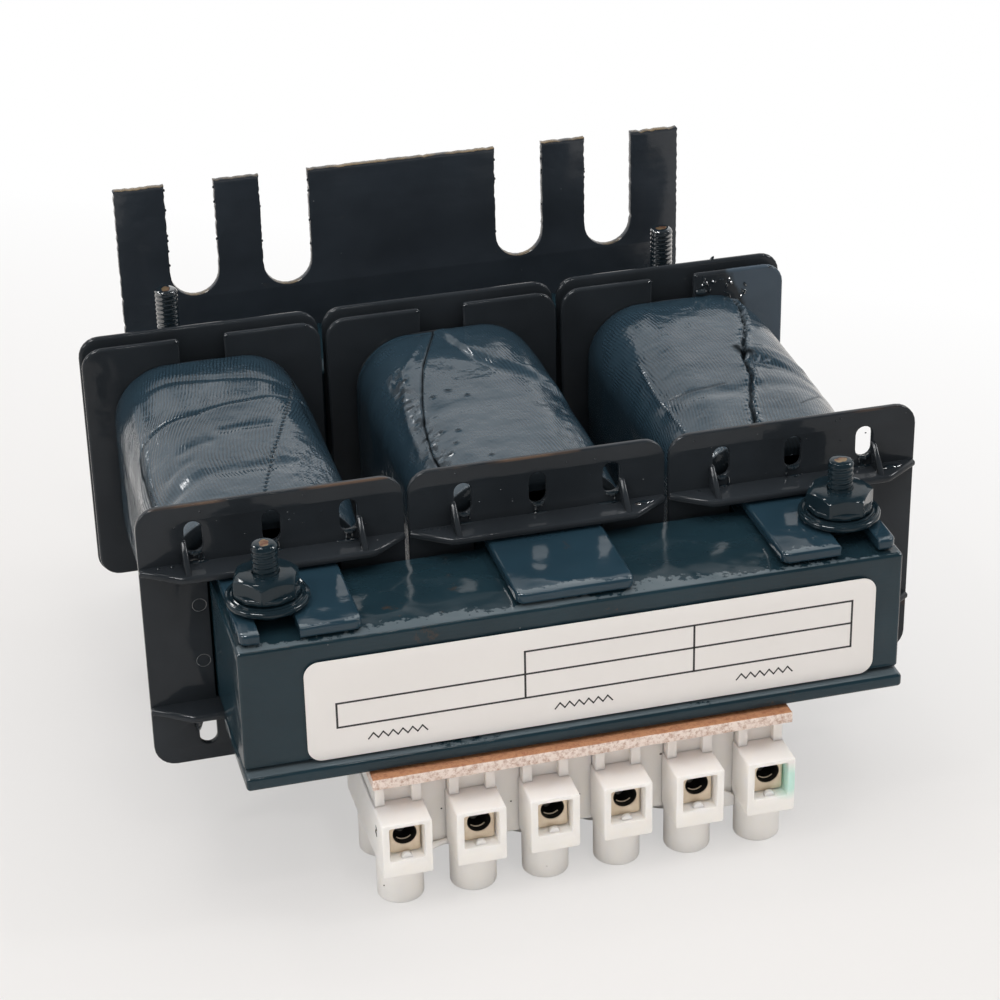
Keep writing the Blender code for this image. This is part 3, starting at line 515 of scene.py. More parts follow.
flange_width, flange_height, flange_corner = 35.5 * MM, 39.0 * MM, 3.0 * MM
bore_width, bore_height = 17.8 * MM, 20.0 * MM
tube_width, tube_height = 20.0 * MM, 22.2 * MM
front_flange, rear_flange, wall_channel = 0.9 * MM, 1.1 * MM, 1.1 * MM
ledge_depth, ledge_thickness, ledge_front = 4.1 * MM, 1.1 * MM, 25.0 * MM
gusset_height, gusset_thickness = 3.4 * MM, 0.8 * MM
low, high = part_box("bobbin_middle")
tree = bobbin_varnish.node_tree
shader = tree.nodes["Principled BSDF"]
coat_colour = shader.inputs["Base Color"].links[0].from_socket
place = spot(tree)
way = node(tree, "ShaderNodeSeparateXYZ", Vector=place)
flange_face = low.y + ledge_depth
rim = graded(tree, way.outputs["Z"], high.z - 0.30 * MM, high.z - 0.16 * MM)
front = graded(tree, way.outputs["Y"], flange_face + 0.42 * MM, flange_face + 0.30 * MM)
rubbed = noise(tree, place, 85, 4)
rubbed = graded(tree, rubbed, 0.44, 0.60, 0.0, 0.7)
rubbed = maths(tree, "MULTIPLY", rubbed, rim)
rubbed = maths(tree, "MULTIPLY", rubbed, front)
worn_rim = between(tree, rubbed, coat_colour, (0.13, 0.085, 0.06))
wall_front = high.y - 2 * rear_flange - wall_channel
# Painted reflection: a ragged lighter patch high on the right of the right bobbin's inner rear wall.
reflection_x = leg_pitch + 19.0 * MM
ragged = noise(tree, place, 420, 4)
ragged = maths(tree, "MULTIPLY_ADD", ragged, 3.0 * MM, way.outputs["X"])
ragged = maths(tree, "MULTIPLY_ADD", way.outputs["Z"], 0.45, ragged)
painted_sheen_or_label_film = graded(tree, ragged, reflection_x, reflection_x + 0.8 * MM)
rear = maths(tree, "COMPARE", way.outputs["Y"], wall_front + 0.5 * MM, 0.8 * MM)
painted_sheen_or_label_film = maths(tree, "MULTIPLY", painted_sheen_or_label_film, rear)
with_painted_reflection = between(tree, painted_sheen_or_label_film, worn_rim, (0.056, 0.078, 0.102))
tree.links.new(with_painted_reflection, shader.inputs["Base Color"])

pooled_varnish = dip_varnish("pooled_varnish", (0.010, 0.017, 0.023), 0.06, sag=0.02, haze=0.2, gleam=0.9)
shader = pooled_varnish.node_tree.nodes["Principled BSDF"]
shader.inputs["Coat Weight"].default_value = 0.9
shader.inputs["Coat IOR"].default_value = 1.6

slot_places, slot_width, slot_height, slot_lift = (-10.3, 0, 10.3), 2.4 * MM, 4.6 * MM, 3.6 * MM
wall_half, wall_top, notch_half = flange_width / 2 - 0.1 * MM, flange_height / 2 - 0.9 * MM, 3.3 * MM


def notched_rim(half, top, notch, turn):
    """The outline of the rear end's inner wall: rounded corners, and a notch in its upper edge down to the tube."""
    root, ease = tube_height / 2 - 0.4 * MM, 0.5 * MM
    rim = [(notch, root)] + arc((notch + ease, top - ease), ease, 180, 90, 3)
    for x, z, start in ((1, 1, 90), (1, -1, 0), (-1, -1, -90), (-1, 1, 180)):
        rim += arc((x * (half - turn), z * (top - turn)), turn, start, start - 90, 6)
    return rim + arc((-notch - ease, top - ease), ease, 90, 0, 3) + [(-notch, root)]


def ledge_rim():
    """The outline of a ledge, which narrows towards its front edge."""
    rim = [(-flange_width / 2, 0.5 * MM), (-flange_width / 2, -0.55 * MM)]
    rim += [(-ledge_front / 2 - 0.4 * MM, 0.15 * MM - ledge_depth), (-ledge_front / 2 + 0.3 * MM, -ledge_depth)]
    return rim + [(-x, y) for x, y in reversed(rim)]


def gusset_rim(side):
    """The outline of a gusset between a ledge and the flange, above (1) or below (-1) the tube."""
    root, reach = side * tube_height / 2, side * gusset_height
    foot, toe = root - side * 0.5 * MM, root + side * 0.1 * MM
    rim = [(0.3 * MM, foot), (0.3 * MM, root + reach), (-0.4 * MM, root + reach), (-0.55 * MM, root + reach * 0.97)]
    return rim + [(0.4 * MM - ledge_depth, toe), (0.3 * MM - ledge_depth, foot)]


pools_on = {"left": (), "middle": (14.3,), "right": (13.9,)}
beads_on = {"left": (-15.2, -13.4), "middle": (-15.9, -15.0, -13.9, -12.9), "right": (-13.6,)}
for phase, coil_x in phases:
    varnish = np.random.default_rng(17 + len(phase))
    low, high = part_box(f"bobbin_{phase}")
    bobbin_z, coil_top = (low.z + high.z) / 2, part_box(f"coil_wrap_{phase}")[1].z
    flange_face, wall_front = low.y + ledge_depth, high.y - rear_flange * 2 - wall_channel
    flange_rim = rounded_rectangle(flange_width, flange_height, flange_corner)
    wall_rim = notched_rim(wall_half, wall_top, notch_half, flange_corner)
    tube_rim = rounded_rectangle(tube_width, tube_height, 2 * MM)
    bore = rounded_rectangle(bore_width, bore_height, 0.3 * MM, 2)
    slot_z = tube_height / 2 + slot_lift
    slots = [oblong(x * MM, side * slot_z, slot_width, slot_height) for side in (-1, 1) for x in slot_places]
    walls = (
        ("flange", [flange_rim, bore, *slots], flange_face + front_flange / 2, front_flange, 0.20, 3),
        ("tube", [tube_rim, bore], (high.y + flange_face) / 2, high.y - flange_face - 0.6 * MM, 0.05, 1),
        ("rear", [flange_rim, bore], high.y - rear_flange / 2, rear_flange, 0.45, 4),
        ("inner_wall", [wall_rim, bore], high.y - rear_flange * 1.5 - wall_channel, rear_flange, 0.42, 4),
    )
    moulded = []
    for name, loops, y, thickness, edge, steps in walls:
        moulded.append(plate_with_edges(name, loops, thickness, edge * MM, "Y", (coil_x, y, bobbin_z), steps))
    for side in (-1, 1):
        ledge_at = (coil_x, flange_face, bobbin_z + side * (tube_height - ledge_thickness) / 2)
        moulded.append(plate_with_edges("ledge", [ledge_rim()], ledge_thickness, 0.45 * MM, "Z", ledge_at, 4))
        for hand in (-1, 1):
            gusset_at = (coil_x + hand * (ledge_front / 2 - gusset_thickness), flange_face, bobbin_z)
            rim = gusset_rim(side)
            moulded.append(plate_with_edges("gusset", [rim], gusset_thickness, 0.36 * MM, "X", gusset_at, 4))
    moulded_faces = sum(len(mesh.polygons) for mesh in moulded)
    ledge_top = bobbin_z + tube_height / 2
    for x in slot_places:
        moulded += slot_drips(coil_x + x * MM, flange_face - 0.1 * MM, ledge_top + 1.25 * MM, varnish)
    pool = [(-1.5, -0.1, 0, 0.3), (-0.7, 0, 0, 1), (0.5, 0, 0, 1), (1.4, 0.2, 0, 0.3)]
    runs = [((coil_x + x * MM, flange_face - 1.5 * MM, ledge_top), pool, 1.0, 0.4) for x in pools_on[phase]]
    bead = [(-0.2, 0, 0, 0.6), (0, 0, 0, 1), (0.2, 0, 0, 0.6)]
    runs += [((coil_x + x * MM, flange_face - 0.7 * MM, ledge_top), bead, 0.32) for x in beads_on[phase]]
    nib = [(-0.12, 0, 0, 0.4), (0, -0.02, 0, 1), (0.12, 0, 0, 0.4)]
    for _ in range(9):
        x, z = varnish.uniform(-15, 15), varnish.uniform(13.0, 18.8)
        runs.append(((coil_x + x * MM, flange_face, bobbin_z + z * MM), nib, varnish.uniform(0.16, 0.3)))
    nib = [(-0.3, 0, 0, 0.4), (0, -0.05, 0, 1), (0.25, 0, 0, 0.4)]
    for x in (-notch_half - 0.3 * MM, notch_half + 0.3 * MM, flange_width / 2 - 2.2 * MM):
        runs.append(((coil_x + x, wall_front, bobbin_z + wall_top - 0.25 * MM), nib, 0.35))
    if phase == "right":
        for _ in range(22):
            x, z, way = varnish.uniform(4.0, 11.5), varnish.uniform(-5.0, -0.6), varnish.uniform(0, 3.1)
            dx, dz = 0.35 * math.cos(way), 0.35 * math.sin(way)
            lump = [(-dx, 0, -dz, 0.5), (0, -0.15, 0, 1), (dx, 0, dz, 0.4)]
            wall_at = (coil_x + x * MM, wall_front, bobbin_z + wall_top + z * MM)
            runs.append((wall_at, lump, varnish.uniform(0.35, 0.85)))
        spur = [(0, 0, 0, 1), (0.1, 0, 0.35, 0.8), (0.35, 0, 0.6, 0.3)]
        runs.append(((coil_x + 7.0 * MM, high.y - rear_flange / 2, high.z - 0.1 * MM), spur, 0.7))
        dash = [(-0.8, 0, 0, 0.6), (-0.5, 0, 0.02, 1), (0.6, 0, 0.06, 1), (0.9, 0, 0.06, 0.5)]
        runs.append(((coil_x + 4.2 * MM, wall_front - 0.5 * MM, coil_top + 0.1 * MM), dash, 0.9))
    moulded += [run_of_varnish(*run) for run in runs]
    if phase == "left":
        for z in (5.5, -3.0):
            turns = [2 * math.pi * i / 16 for i in range(16)]
            ring = [(0.95 * math.cos(a), 0.95 * math.sin(a), 0, 1) for a in turns]
            pin_mark = run_of_varnish((0, 0, 0), ring, 0.12, 0.25, closed=True)
            pin_mark.transform(Matrix.Rotation(math.radians(90), 4, "X"))
            pin_mark.transform(Matrix.Translation((-46.3 * MM, flange_face, z * MM)))
            moulded.append(pin_mark)
    moulded = together(f"moulded_bobbin_{phase}", moulded)
    bobbin = linked(f"moulded_bobbin_{phase}", moulded, bobbin_varnish, pooled_varnish)
    for face in list(moulded.polygons)[moulded_faces:]:
        face.material_index = 1
    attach(bobbin, "root")
    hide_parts(f"bobbin_{phase}")

# Windings: enamelled copper wire in even layers, hidden under the tape. They are seen only if the tape is
# taken away.

copper, tree, shader = finish_of("enamelled_copper")
turns = node(tree, "ShaderNodeTexWave", Vector=spot(tree), bands_direction="Y", Scale=400).outputs["Fac"]
coat(tree, shader, between(tree, turns, (0.30, 0.09, 0.03), (0.80, 0.36, 0.17)), 0.3, 1.0)
roughen(tree, shader, turns, 0.8, 0.2 * MM)
narrowing_of = {"left": 1.5, "middle": 0.6, "right": 2.6}
wrap_shoulder_drop, wrap_taper, turn_radius = 0.7, 0.5, 7.5 * MM
for phase, coil_x in phases:
    wound_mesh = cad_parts[f"winding_{phase}"].data.copy()
    low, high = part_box(f"winding_{phase}")
    drawn_in = (wrap_shoulder_drop + wrap_taper + narrowing_of[phase] + 0.15) * MM
    tape_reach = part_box(f"coil_wrap_{phase}")[1].x - drawn_in
    bend_x, bend_z = tape_reach - turn_radius, (high.z - low.z) / 2 - turn_radius
    _, _, middle_z = middle_of(low, high)
    for vert in wound_mesh.vertices:
        if vert.co.y > low.y + 0.1 * MM:
            continue
        vert.co.x = min(vert.co.x, tape_reach)
        over = Vector((vert.co.x - bend_x, abs(vert.co.z - middle_z) - bend_z))
        if min(over) > 0 and over.length > turn_radius:
            over.length = turn_radius
            vert.co.x = bend_x + over.x
            vert.co.z = middle_z + math.copysign(bend_z + over.y, vert.co.z - middle_z)
    wound_mesh.materials.clear()
    wound = linked(f"wound_coil_{phase}", wound_mesh, copper)
    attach(wound, "root")
    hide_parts(f"winding_{phase}")

# Coils: woven tape wound round the windings and soaked in varnish, which leaves glossy flat patches between rows
# of ribs, folds where a turn of tape runs over another, a ragged seam and small bubbles. Built as a dense skin.

tape_varnish, tree, shader = finish_of("tape_varnish")
lay = node(tree, "ShaderNodeAttribute", attribute_name="tape_lay").outputs["Vector"]
coords = node(tree, "ShaderNodeSeparateXYZ", Vector=lay)
place = spot(tree)
cloud = noise(tree, place, 120, 4)
tone = between(tree, cloud, (0.016, 0.036, 0.054), (0.034, 0.062, 0.086))
wobble = noise(tree, lay, 0.35, 2)
wobble = maths(tree, "MULTIPLY_ADD", wobble, 0.7, coords.outputs["X"])
weft_pitch, warp_pitch = 0.50, 0.55
weft = maths(tree, "MULTIPLY", wobble, 2 * math.pi / weft_pitch)
weft = maths(tree, "SINE", weft)
warp = maths(tree, "MULTIPLY", coords.outputs["Y"], 2 * math.pi / warp_pitch)
warp = maths(tree, "SINE", warp)
weave = maths(tree, "MULTIPLY_ADD", warp, 0.07, weft)
filled = noise(tree, lay, 0.16, 3, 0.6)
filled = graded(tree, filled, 0.42, 0.62, 1.0, 0.25)
shown = maths(tree, "MULTIPLY", filled, coords.outputs["Z"])
relief = maths(tree, "MULTIPLY", weave, shown)
# Painted shade: the weave's valleys are coloured darker than its crests.
groove = graded(tree, relief, -1.0, 0.2, 0.45, 1.0)
shade = node(tree, "ShaderNodeCombineColor", Red=groove, Green=groove, Blue=groove)
threads = between(tree, 1.0, tone, shade.outputs[0], "MULTIPLY")
# Painted shade: the first mask colours seams, folds, holes and the coil's front end near black and dulls them.
painted_shade = node(tree, "ShaderNodeAttribute", attribute_name="painted_shade").outputs["Fac"]
frayed_and_glints = node(tree, "ShaderNodeAttribute", attribute_name="frayed_and_glints").outputs["Fac"]
# Frayed threads are coloured pale, and so are painted glints along the upper right coil seam.
pale_fray_and_glints = between(tree, frayed_and_glints, threads, (0.16, 0.19, 0.22))
gap = between(tree, painted_shade, pale_fray_and_glints, (0.004, 0.005, 0.006))
tree.links.new(gap, shader.inputs["Base Color"])
roughen(tree, shader, relief, 1.0, 0.016 * MM)
roughen(tree, shader, noise(tree, place, 260, 3), 1.0, 0.25 * MM)
patch = noise(tree, place, 90, 3)
patch = graded(tree, patch, 0.4, 0.65, 0.10, 0.20)
dull = maths(tree, "MULTIPLY_ADD", painted_shade, 0.8, patch)
tree.links.new(dull, shader.inputs["Roughness"])
for gloss, strength in (("Specular IOR Level", 0.37), ("Coat Weight", 0.16)):
    tree.links.new(graded(tree, painted_shade, 0.0, 1.0, strength, 0.0), shader.inputs[gloss])
shader.inputs["Coat Roughness"].default_value = 0.08


def around(share, half_width, half_height, radius):
    """Places on a rounded rectangle by their share of its way round, from the middle of the top to the right."""
    a, b, quarter = half_width - radius, half_height - radius, radius * math.pi / 2
    way = 4 * (a + b + quarter)
    s = (share % 1.0) * way
    stops = np.cumsum([0, a, quarter, 2 * b, quarter, 2 * a, quarter, 2 * b, quarter, a])
    x, z = np.zeros_like(s), np.zeros_like(s)
    runs_of = (
        (0, lambda t: (t, half_height + 0 * t)),
        (1, lambda t: (a + radius * np.sin(t / radius), b + radius * np.cos(t / radius))),
        (2, lambda t: (half_width + 0 * t, b - t)),
        (3, lambda t: (a + radius * np.cos(t / radius), -b - radius * np.sin(t / radius))),
        (4, lambda t: (a - t, -half_height + 0 * t)),
        (5, lambda t: (-a - radius * np.sin(t / radius), -b - radius * np.cos(t / radius))),
        (6, lambda t: (-half_width + 0 * t, -b + t)),
        (7, lambda t: (-a - radius * np.cos(t / radius), b + radius * np.sin(t / radius))),
        (8, lambda t: (-a + t, half_height + 0 * t)),
    )
    for index, path in runs_of:
        part = (s >= stops[index]) & (s <= stops[index + 1])
        px, pz = path(s[part] - stops[index])
        x[part], z[part] = px, pz
    return x, z, way


def soft_noise(s, y, size, seed):
    """Smooth random heights between -1 and 1 over a cloth, about size apart."""
    table = np.random.default_rng(seed).uniform(-1, 1, (64, 64))
    u, v = s / size + 20, y / size + 20
    i, j = np.floor(u).astype(int), np.floor(v).astype(int)
    f, g = u - i, v - j
    f, g = f * f * (3 - 2 * f), g * g * (3 - 2 * g)
    corner_of = lambda di, dj: table[(i + di) % 64, (j + dj) % 64]
    low = corner_of(0, 0) * (1 - f) + corner_of(1, 0) * f
    high_row = corner_of(0, 1) * (1 - f) + corner_of(1, 1) * f
    return low * (1 - g) + high_row * g


def step(value, soft):
    t = np.clip(value / soft + 0.5, 0, 1)
    return t * t * (3 - 2 * t)


def height_on(path, s):
    """The y of a path of (s, y) points at each s."""
    return np.interp(s, [p[0] for p in path], [p[1] for p in path])


def tape_edge(s, y, path, rise, soft, fade, limits):
    """A turn of tape that ends along a path of (s, y) points: it stands up in front of the path and fades out."""
    ahead = height_on(path, s) - y
    inside = step(s - limits[0], 2.5) * step(limits[1] - s, 2.5)
    return rise * step(ahead, soft) * np.exp(-np.maximum(ahead, 0) / fade) * inside


def groove_along(s, y, path, depth, width):
    """A narrow valley (or with a negative depth, a ridge) along a path of (s, y) points."""
    gap = np.full_like(s, 1e9)
    for (s0, y0), (s1, y1) in zip(path, path[1:]):
        ds, dy = s1 - s0, y1 - y0
        t = np.clip(((s - s0) * ds + (y - y0) * dy) / (ds * ds + dy * dy), 0, 1)
        gap = np.minimum(gap, np.hypot(s - s0 - t * ds, y - y0 - t * dy))
    return -depth * np.exp(-((gap / width) ** 2))


def blisters(s, y, places, size, rise):
    height = np.zeros_like(s)
    for index, (s0, y0) in enumerate(places):
        r = size * (0.7 + 0.6 * ((index * 0.37) % 1.0))
        gap = np.hypot(s - s0, (y - y0) * 1.3) / r
        height += rise * (np.exp(-(gap ** 2)) - 0.9 * np.exp(-((gap * 2.2) ** 2)))
    return height


def mark(s, y, path, width):
    """How near a place is to a path of (s, y) points: 1 on it, 0 well away from it."""
    return groove_along(s, y, path, -1.0, width)


def left_folds(s, y):
    """The left coil: a turn of tape folded over from lower left to upper right, with the weave drawn round it."""
    fold = [(-17, 21.0), (-14, 29.1), (-11.6, 31.2), (-8.5, 31.8), (-4.5, 32.5)]
    fold += [(0, 34.0), (5, 34.7), (9.5, 35.6), (13, 38)]
    h = tape_edge(s, y, fold, 0.55, 0.9, 14, (-18, 12))
    wrinkles = (
        (fold, 0.42, 0.50),
        (fold[1:5], 0.25, 0.9),
        ([(-12.8, 12.0), (-8.9, 12.8), (-4.2, 14.6), (1.4, 14.9), (5.8, 14.3), (10, 15)], 0.22, 1.5),
        ([(-1.5, 26.3), (1, 26.7), (5, 26.4)], 0.17, 0.9),
        ([(-8, 22.0), (-4.0, 23.6)], 0.15, 1.0),
        ([(-11, 17.5), (-7.5, 18.8)], 0.12, 1.0),
        ([(-9.5, 44.0), (-4.6, 44.2), (3.4, 43.0), (11.1, 40.5)], 0.18, 0.9),
        ([(-14.5, 24), (-13.4, 33), (-12.5, 42)], -0.3, 0.9),
    )
    for path, depth, width in wrinkles:
        h += groove_along(s, y, path, depth, width)
    fray = np.exp(-(((s - 9.0) / 3.6) ** 2 + ((y - 13.5) / 6.0) ** 2))
    h += fray * (0.22 * soft_noise(s, y, 0.8, 5) + 0.16 * soft_noise(s, y, 1.7, 6))
    stitch = [(12.9, 45.0), (12.7, 43.9), (8.8, 31.7), (6.0, 23.3), (3.9, 17.6), (1.1, 8.4), (0.0, 4.0)]
    pitch = 0.5 + 0.5 * np.sin(y * 2 * math.pi / 1.15 + soft_noise(s * 0, y, 3.0, 7) * 3)
    h += groove_along(s, y, stitch, 0.16, 0.26) * pitch
    beads = [(-14.6, 14.0), (-14.2, 20.0), (-13.6, 26.0), (-12.9, 29.6), (-12.0, 31.0)]
    twist = np.sin(y * 2 * math.pi / 0.95 + s * 3) ** 2
    h += groove_along(s, y, beads, -0.60, 0.55) * (0.30 + 0.70 * twist)
    beside = [(p[0] - 0.70, p[1]) for p in beads]
    # Painted shade: dark along the fold, in the stitch holes, in and beside the bead cord, and near the rear right.
    painted_shade = 0.8 * mark(s, y, fold, 0.26) * step(9 - s, 8) + 0.9 * mark(s, y, stitch, 0.20) * pitch ** 2
    painted_shade += 0.9 * mark(s, y, beside, 0.30) + 0.9 * mark(s, y, beads, 0.3) * (1 - twist)
    painted_shade += 0.9 * mark(s, y, [(12.9, 42.5), (13.3, 46.5), (12.8, 48.5)], 0.35)
    crossing = np.sin(s * 2 * math.pi / 0.55) * np.sin(y * 2 * math.pi / 0.6)
    threads = fray * np.clip(0.35 + 0.7 * crossing, 0, 1)
    shown = 0.8 + 0.8 * np.exp(-(((y - 17.8) / 2.2) ** 2)) + 0.35 * step(y - 27, 4) - 0.45 * step(13 - y, 3)
    return h, painted_shade, 0.8 * threads, shown


def middle_folds(s, y):
    """The middle coil: filled with varnish, with one raised fold at the rear right and a thin seam at the left."""
    ridge = [(-2.0, 52.0), (-1.0, 50.0), (1.6, 40.0), (4.4, 35.0), (9.0, 30.6), (13, 27.5)]
    behind = y - height_on(ridge, s)
    h = 0.60 * step(behind, 4.5) * np.exp(-np.maximum(behind - 4, 0) / 14)
    h *= step(s + 2.2, 4.0) * step(13.5 - s, 5)
    h += groove_along(s, y, ridge[2:], 0.16, 1.5)
    h += groove_along(s, y, [(-7.0, 24.3), (0.2, 24.6), (6.3, 24.3), (9, 22)], 0.13, 2.2)
    h -= 0.30 * step(y - 42.0, 6.0) * step(4.0 - s, 6.0)
    seam = [(-1.6, 51.0), (-1.8, 50.0), (-6.3, 37.8), (-9.0, 28.0)]
    seam += [(-10.4, 22.0), (-11.4, 14.7), (-11.3, 8.0)]
    h += groove_along(s, y, seam, 0.20, 0.16)
    edge = [(-3.0, 49.5), (-9.1, 38.5), (-11.2, 30.7), (-12.4, 25.3), (-12.9, 17.4)]
    h += groove_along(s, y, edge, -0.16, 0.7)
    ragged = np.exp(-(((s + 10.8) / 1.5) ** 2)) * step(y - 6, 6) * step(40 - y, 6)
    h += ragged * (0.11 * soft_noise(s, y, 1.3, 11) + 0.04 * soft_noise(s, y, 0.7, 12))
    spots = [(-9.5, 36.2), (-7.2, 28.4), (-4.6, 29.5), (-2.3, 27.5), (-6.2, 17.5)]
    spots += [(-8.6, 18.5), (-3.6, 9.0), (-7.5, 14.2), (-8.9, 12.0)]
    h += blisters(s, y, spots, 0.42, 0.16)
    rumple = np.exp(-(((s - 10.5) / 1.4) ** 2)) * step(y - 4, 8) * step(34 - y, 8)
    h += rumple * 0.10 * soft_noise(s, y, 1.0, 13)
    # Painted shade: dark in the seam's gap, in patches of the ragged strip and in the hollows of the blisters.
    painted_shade = mark(s, y, seam, 0.15 + 0.05 * soft_noise(s * 0, y, 0.9, 15))
    painted_shade += 0.6 * ragged * step(soft_noise(s, y, 0.8, 14) - 0.2, 0.4)
    for s0, y0 in spots:
        painted_shade += 0.8 * np.exp(-(((s - s0) / 0.40) ** 2 + ((y - y0) / 0.22) ** 2))
    return h, painted_shade, 0 * s, 0.15 + 0.8 * step(s - 4, 7)


def right_folds(s, y):
    """The right coil: even ribs, a seam of loose threads with painted shade and glints, a pleat that starts at it."""
    seam = [(9.5, 51.0), (9.0, 46.0), (6.8, 37.8), (4.2, 31.0), (3.3, 28.4)]
    seam += [(2.2, 22.2), (-0.8, 13.8), (-2.3, 7.7), (-2.6, 3.0)]
    wander = 0.11 * soft_noise(s * 0, y, 0.9, 24)
    ragged = 0.75 + 0.25 * soft_noise(s * 0, y, 1.2, 21)
    h = groove_along(s + wander, y, seam, 0.75, 0.28) * ragged
    lip = [(p[0] + 0.60, p[1]) for p in seam]
    h += groove_along(s, y, lip, -0.30, 0.45) * (0.6 + 0.4 * soft_noise(s * 0, y, 0.7, 22))
    near = mark(s, y, seam, 0.9)
    h += near * 0.16 * soft_noise(s, y, 0.55, 23)
    pleat = [(3.6, 28.6), (6.4, 26.4), (9.4, 23.4), (12.5, 20.5)]
    ahead = height_on(pleat, s) - y
    fade = np.exp(-np.maximum(s - 6, 0) / 4.0) * np.exp(-np.maximum(ahead - 1.2, 0) / 3.5)
    h -= 0.80 * step(ahead + 0.6, 2.6) * step(s - 3.4, 0.8) * fade
    h += groove_along(s, y, [(4.4, 31.0), (8.0, 29.0), (12, 26)], -0.25, 1.3)
    crease = [(-12.0, 19.4), (-8.8, 18.8), (-5.7, 18.2), (-1.3, 18.0), (1.0, 18.6)]
    h += groove_along(s, y, crease, 0.20, 1.5)
    h += groove_along(s, y, [(2.2, 19.4), (5.5, 18.6), (9, 17.0), (12, 15)], 0.14, 1.7)
    dots = [(-11.6, 33.5), (-12.1, 28.0), (-12.4, 23.8), (-12.1, 16.7), (-11.9, 10.0)]
    h += groove_along(s, y, dots, -0.18, 0.35) * (0.6 + 0.4 * np.sin(y * 2 * math.pi / 1.5) ** 2)
    rows_of_holes = np.sin(s * 2 * math.pi / 0.55) ** 2
    stitches = mark(s, y, [(-11.0, 20.9), (-8.8, 20.2), (-5.7, 19.9), (-2.3, 20.6)], 0.30) * rows_of_holes
    short_rows = np.sin(y * 2 * math.pi / 0.9) ** 2
    stitches += mark(s, y, [(6.0, 11.5), (8.5, 13.5), (11.0, 16.0)], 0.25) * short_rows
    h -= 0.06 * stitches
    upper = step(y - 30, 2)
    glints = step(soft_noise(s, y, 0.45, 25) - 0.25, 0.2)
    # Painted shade: dark in the seam's gap, in the corner where the pleat starts, and in the stitch holes.
    painted_shade = mark(s + wander, y, seam, 0.24 + 0.10 * upper) * (1 - upper * glints)
    painted_shade *= 0.8 + 0.2 * step(12 - y, 8)
    painted_shade += 0.9 * mark(s, y, [(3.1, 31.4), (3.4, 29.4), (4.6, 29.2)], 0.55) + 0.7 * stitches
    dust = step(soft_noise(s, y, 0.35, 26) - 0.55, 0.15) * mark(s, y, [(4.0, 28.6), (6.8, 26.6)], 0.8)
    # Painted highlights: pale glints along the seam's upper part, added to the pale dust near the pleat.
    return h, painted_shade, 0.7 * near * upper * glints + 0.8 * dust, 0.75 + 0.45 * step(s + 6 - 0.35 * y, 4)


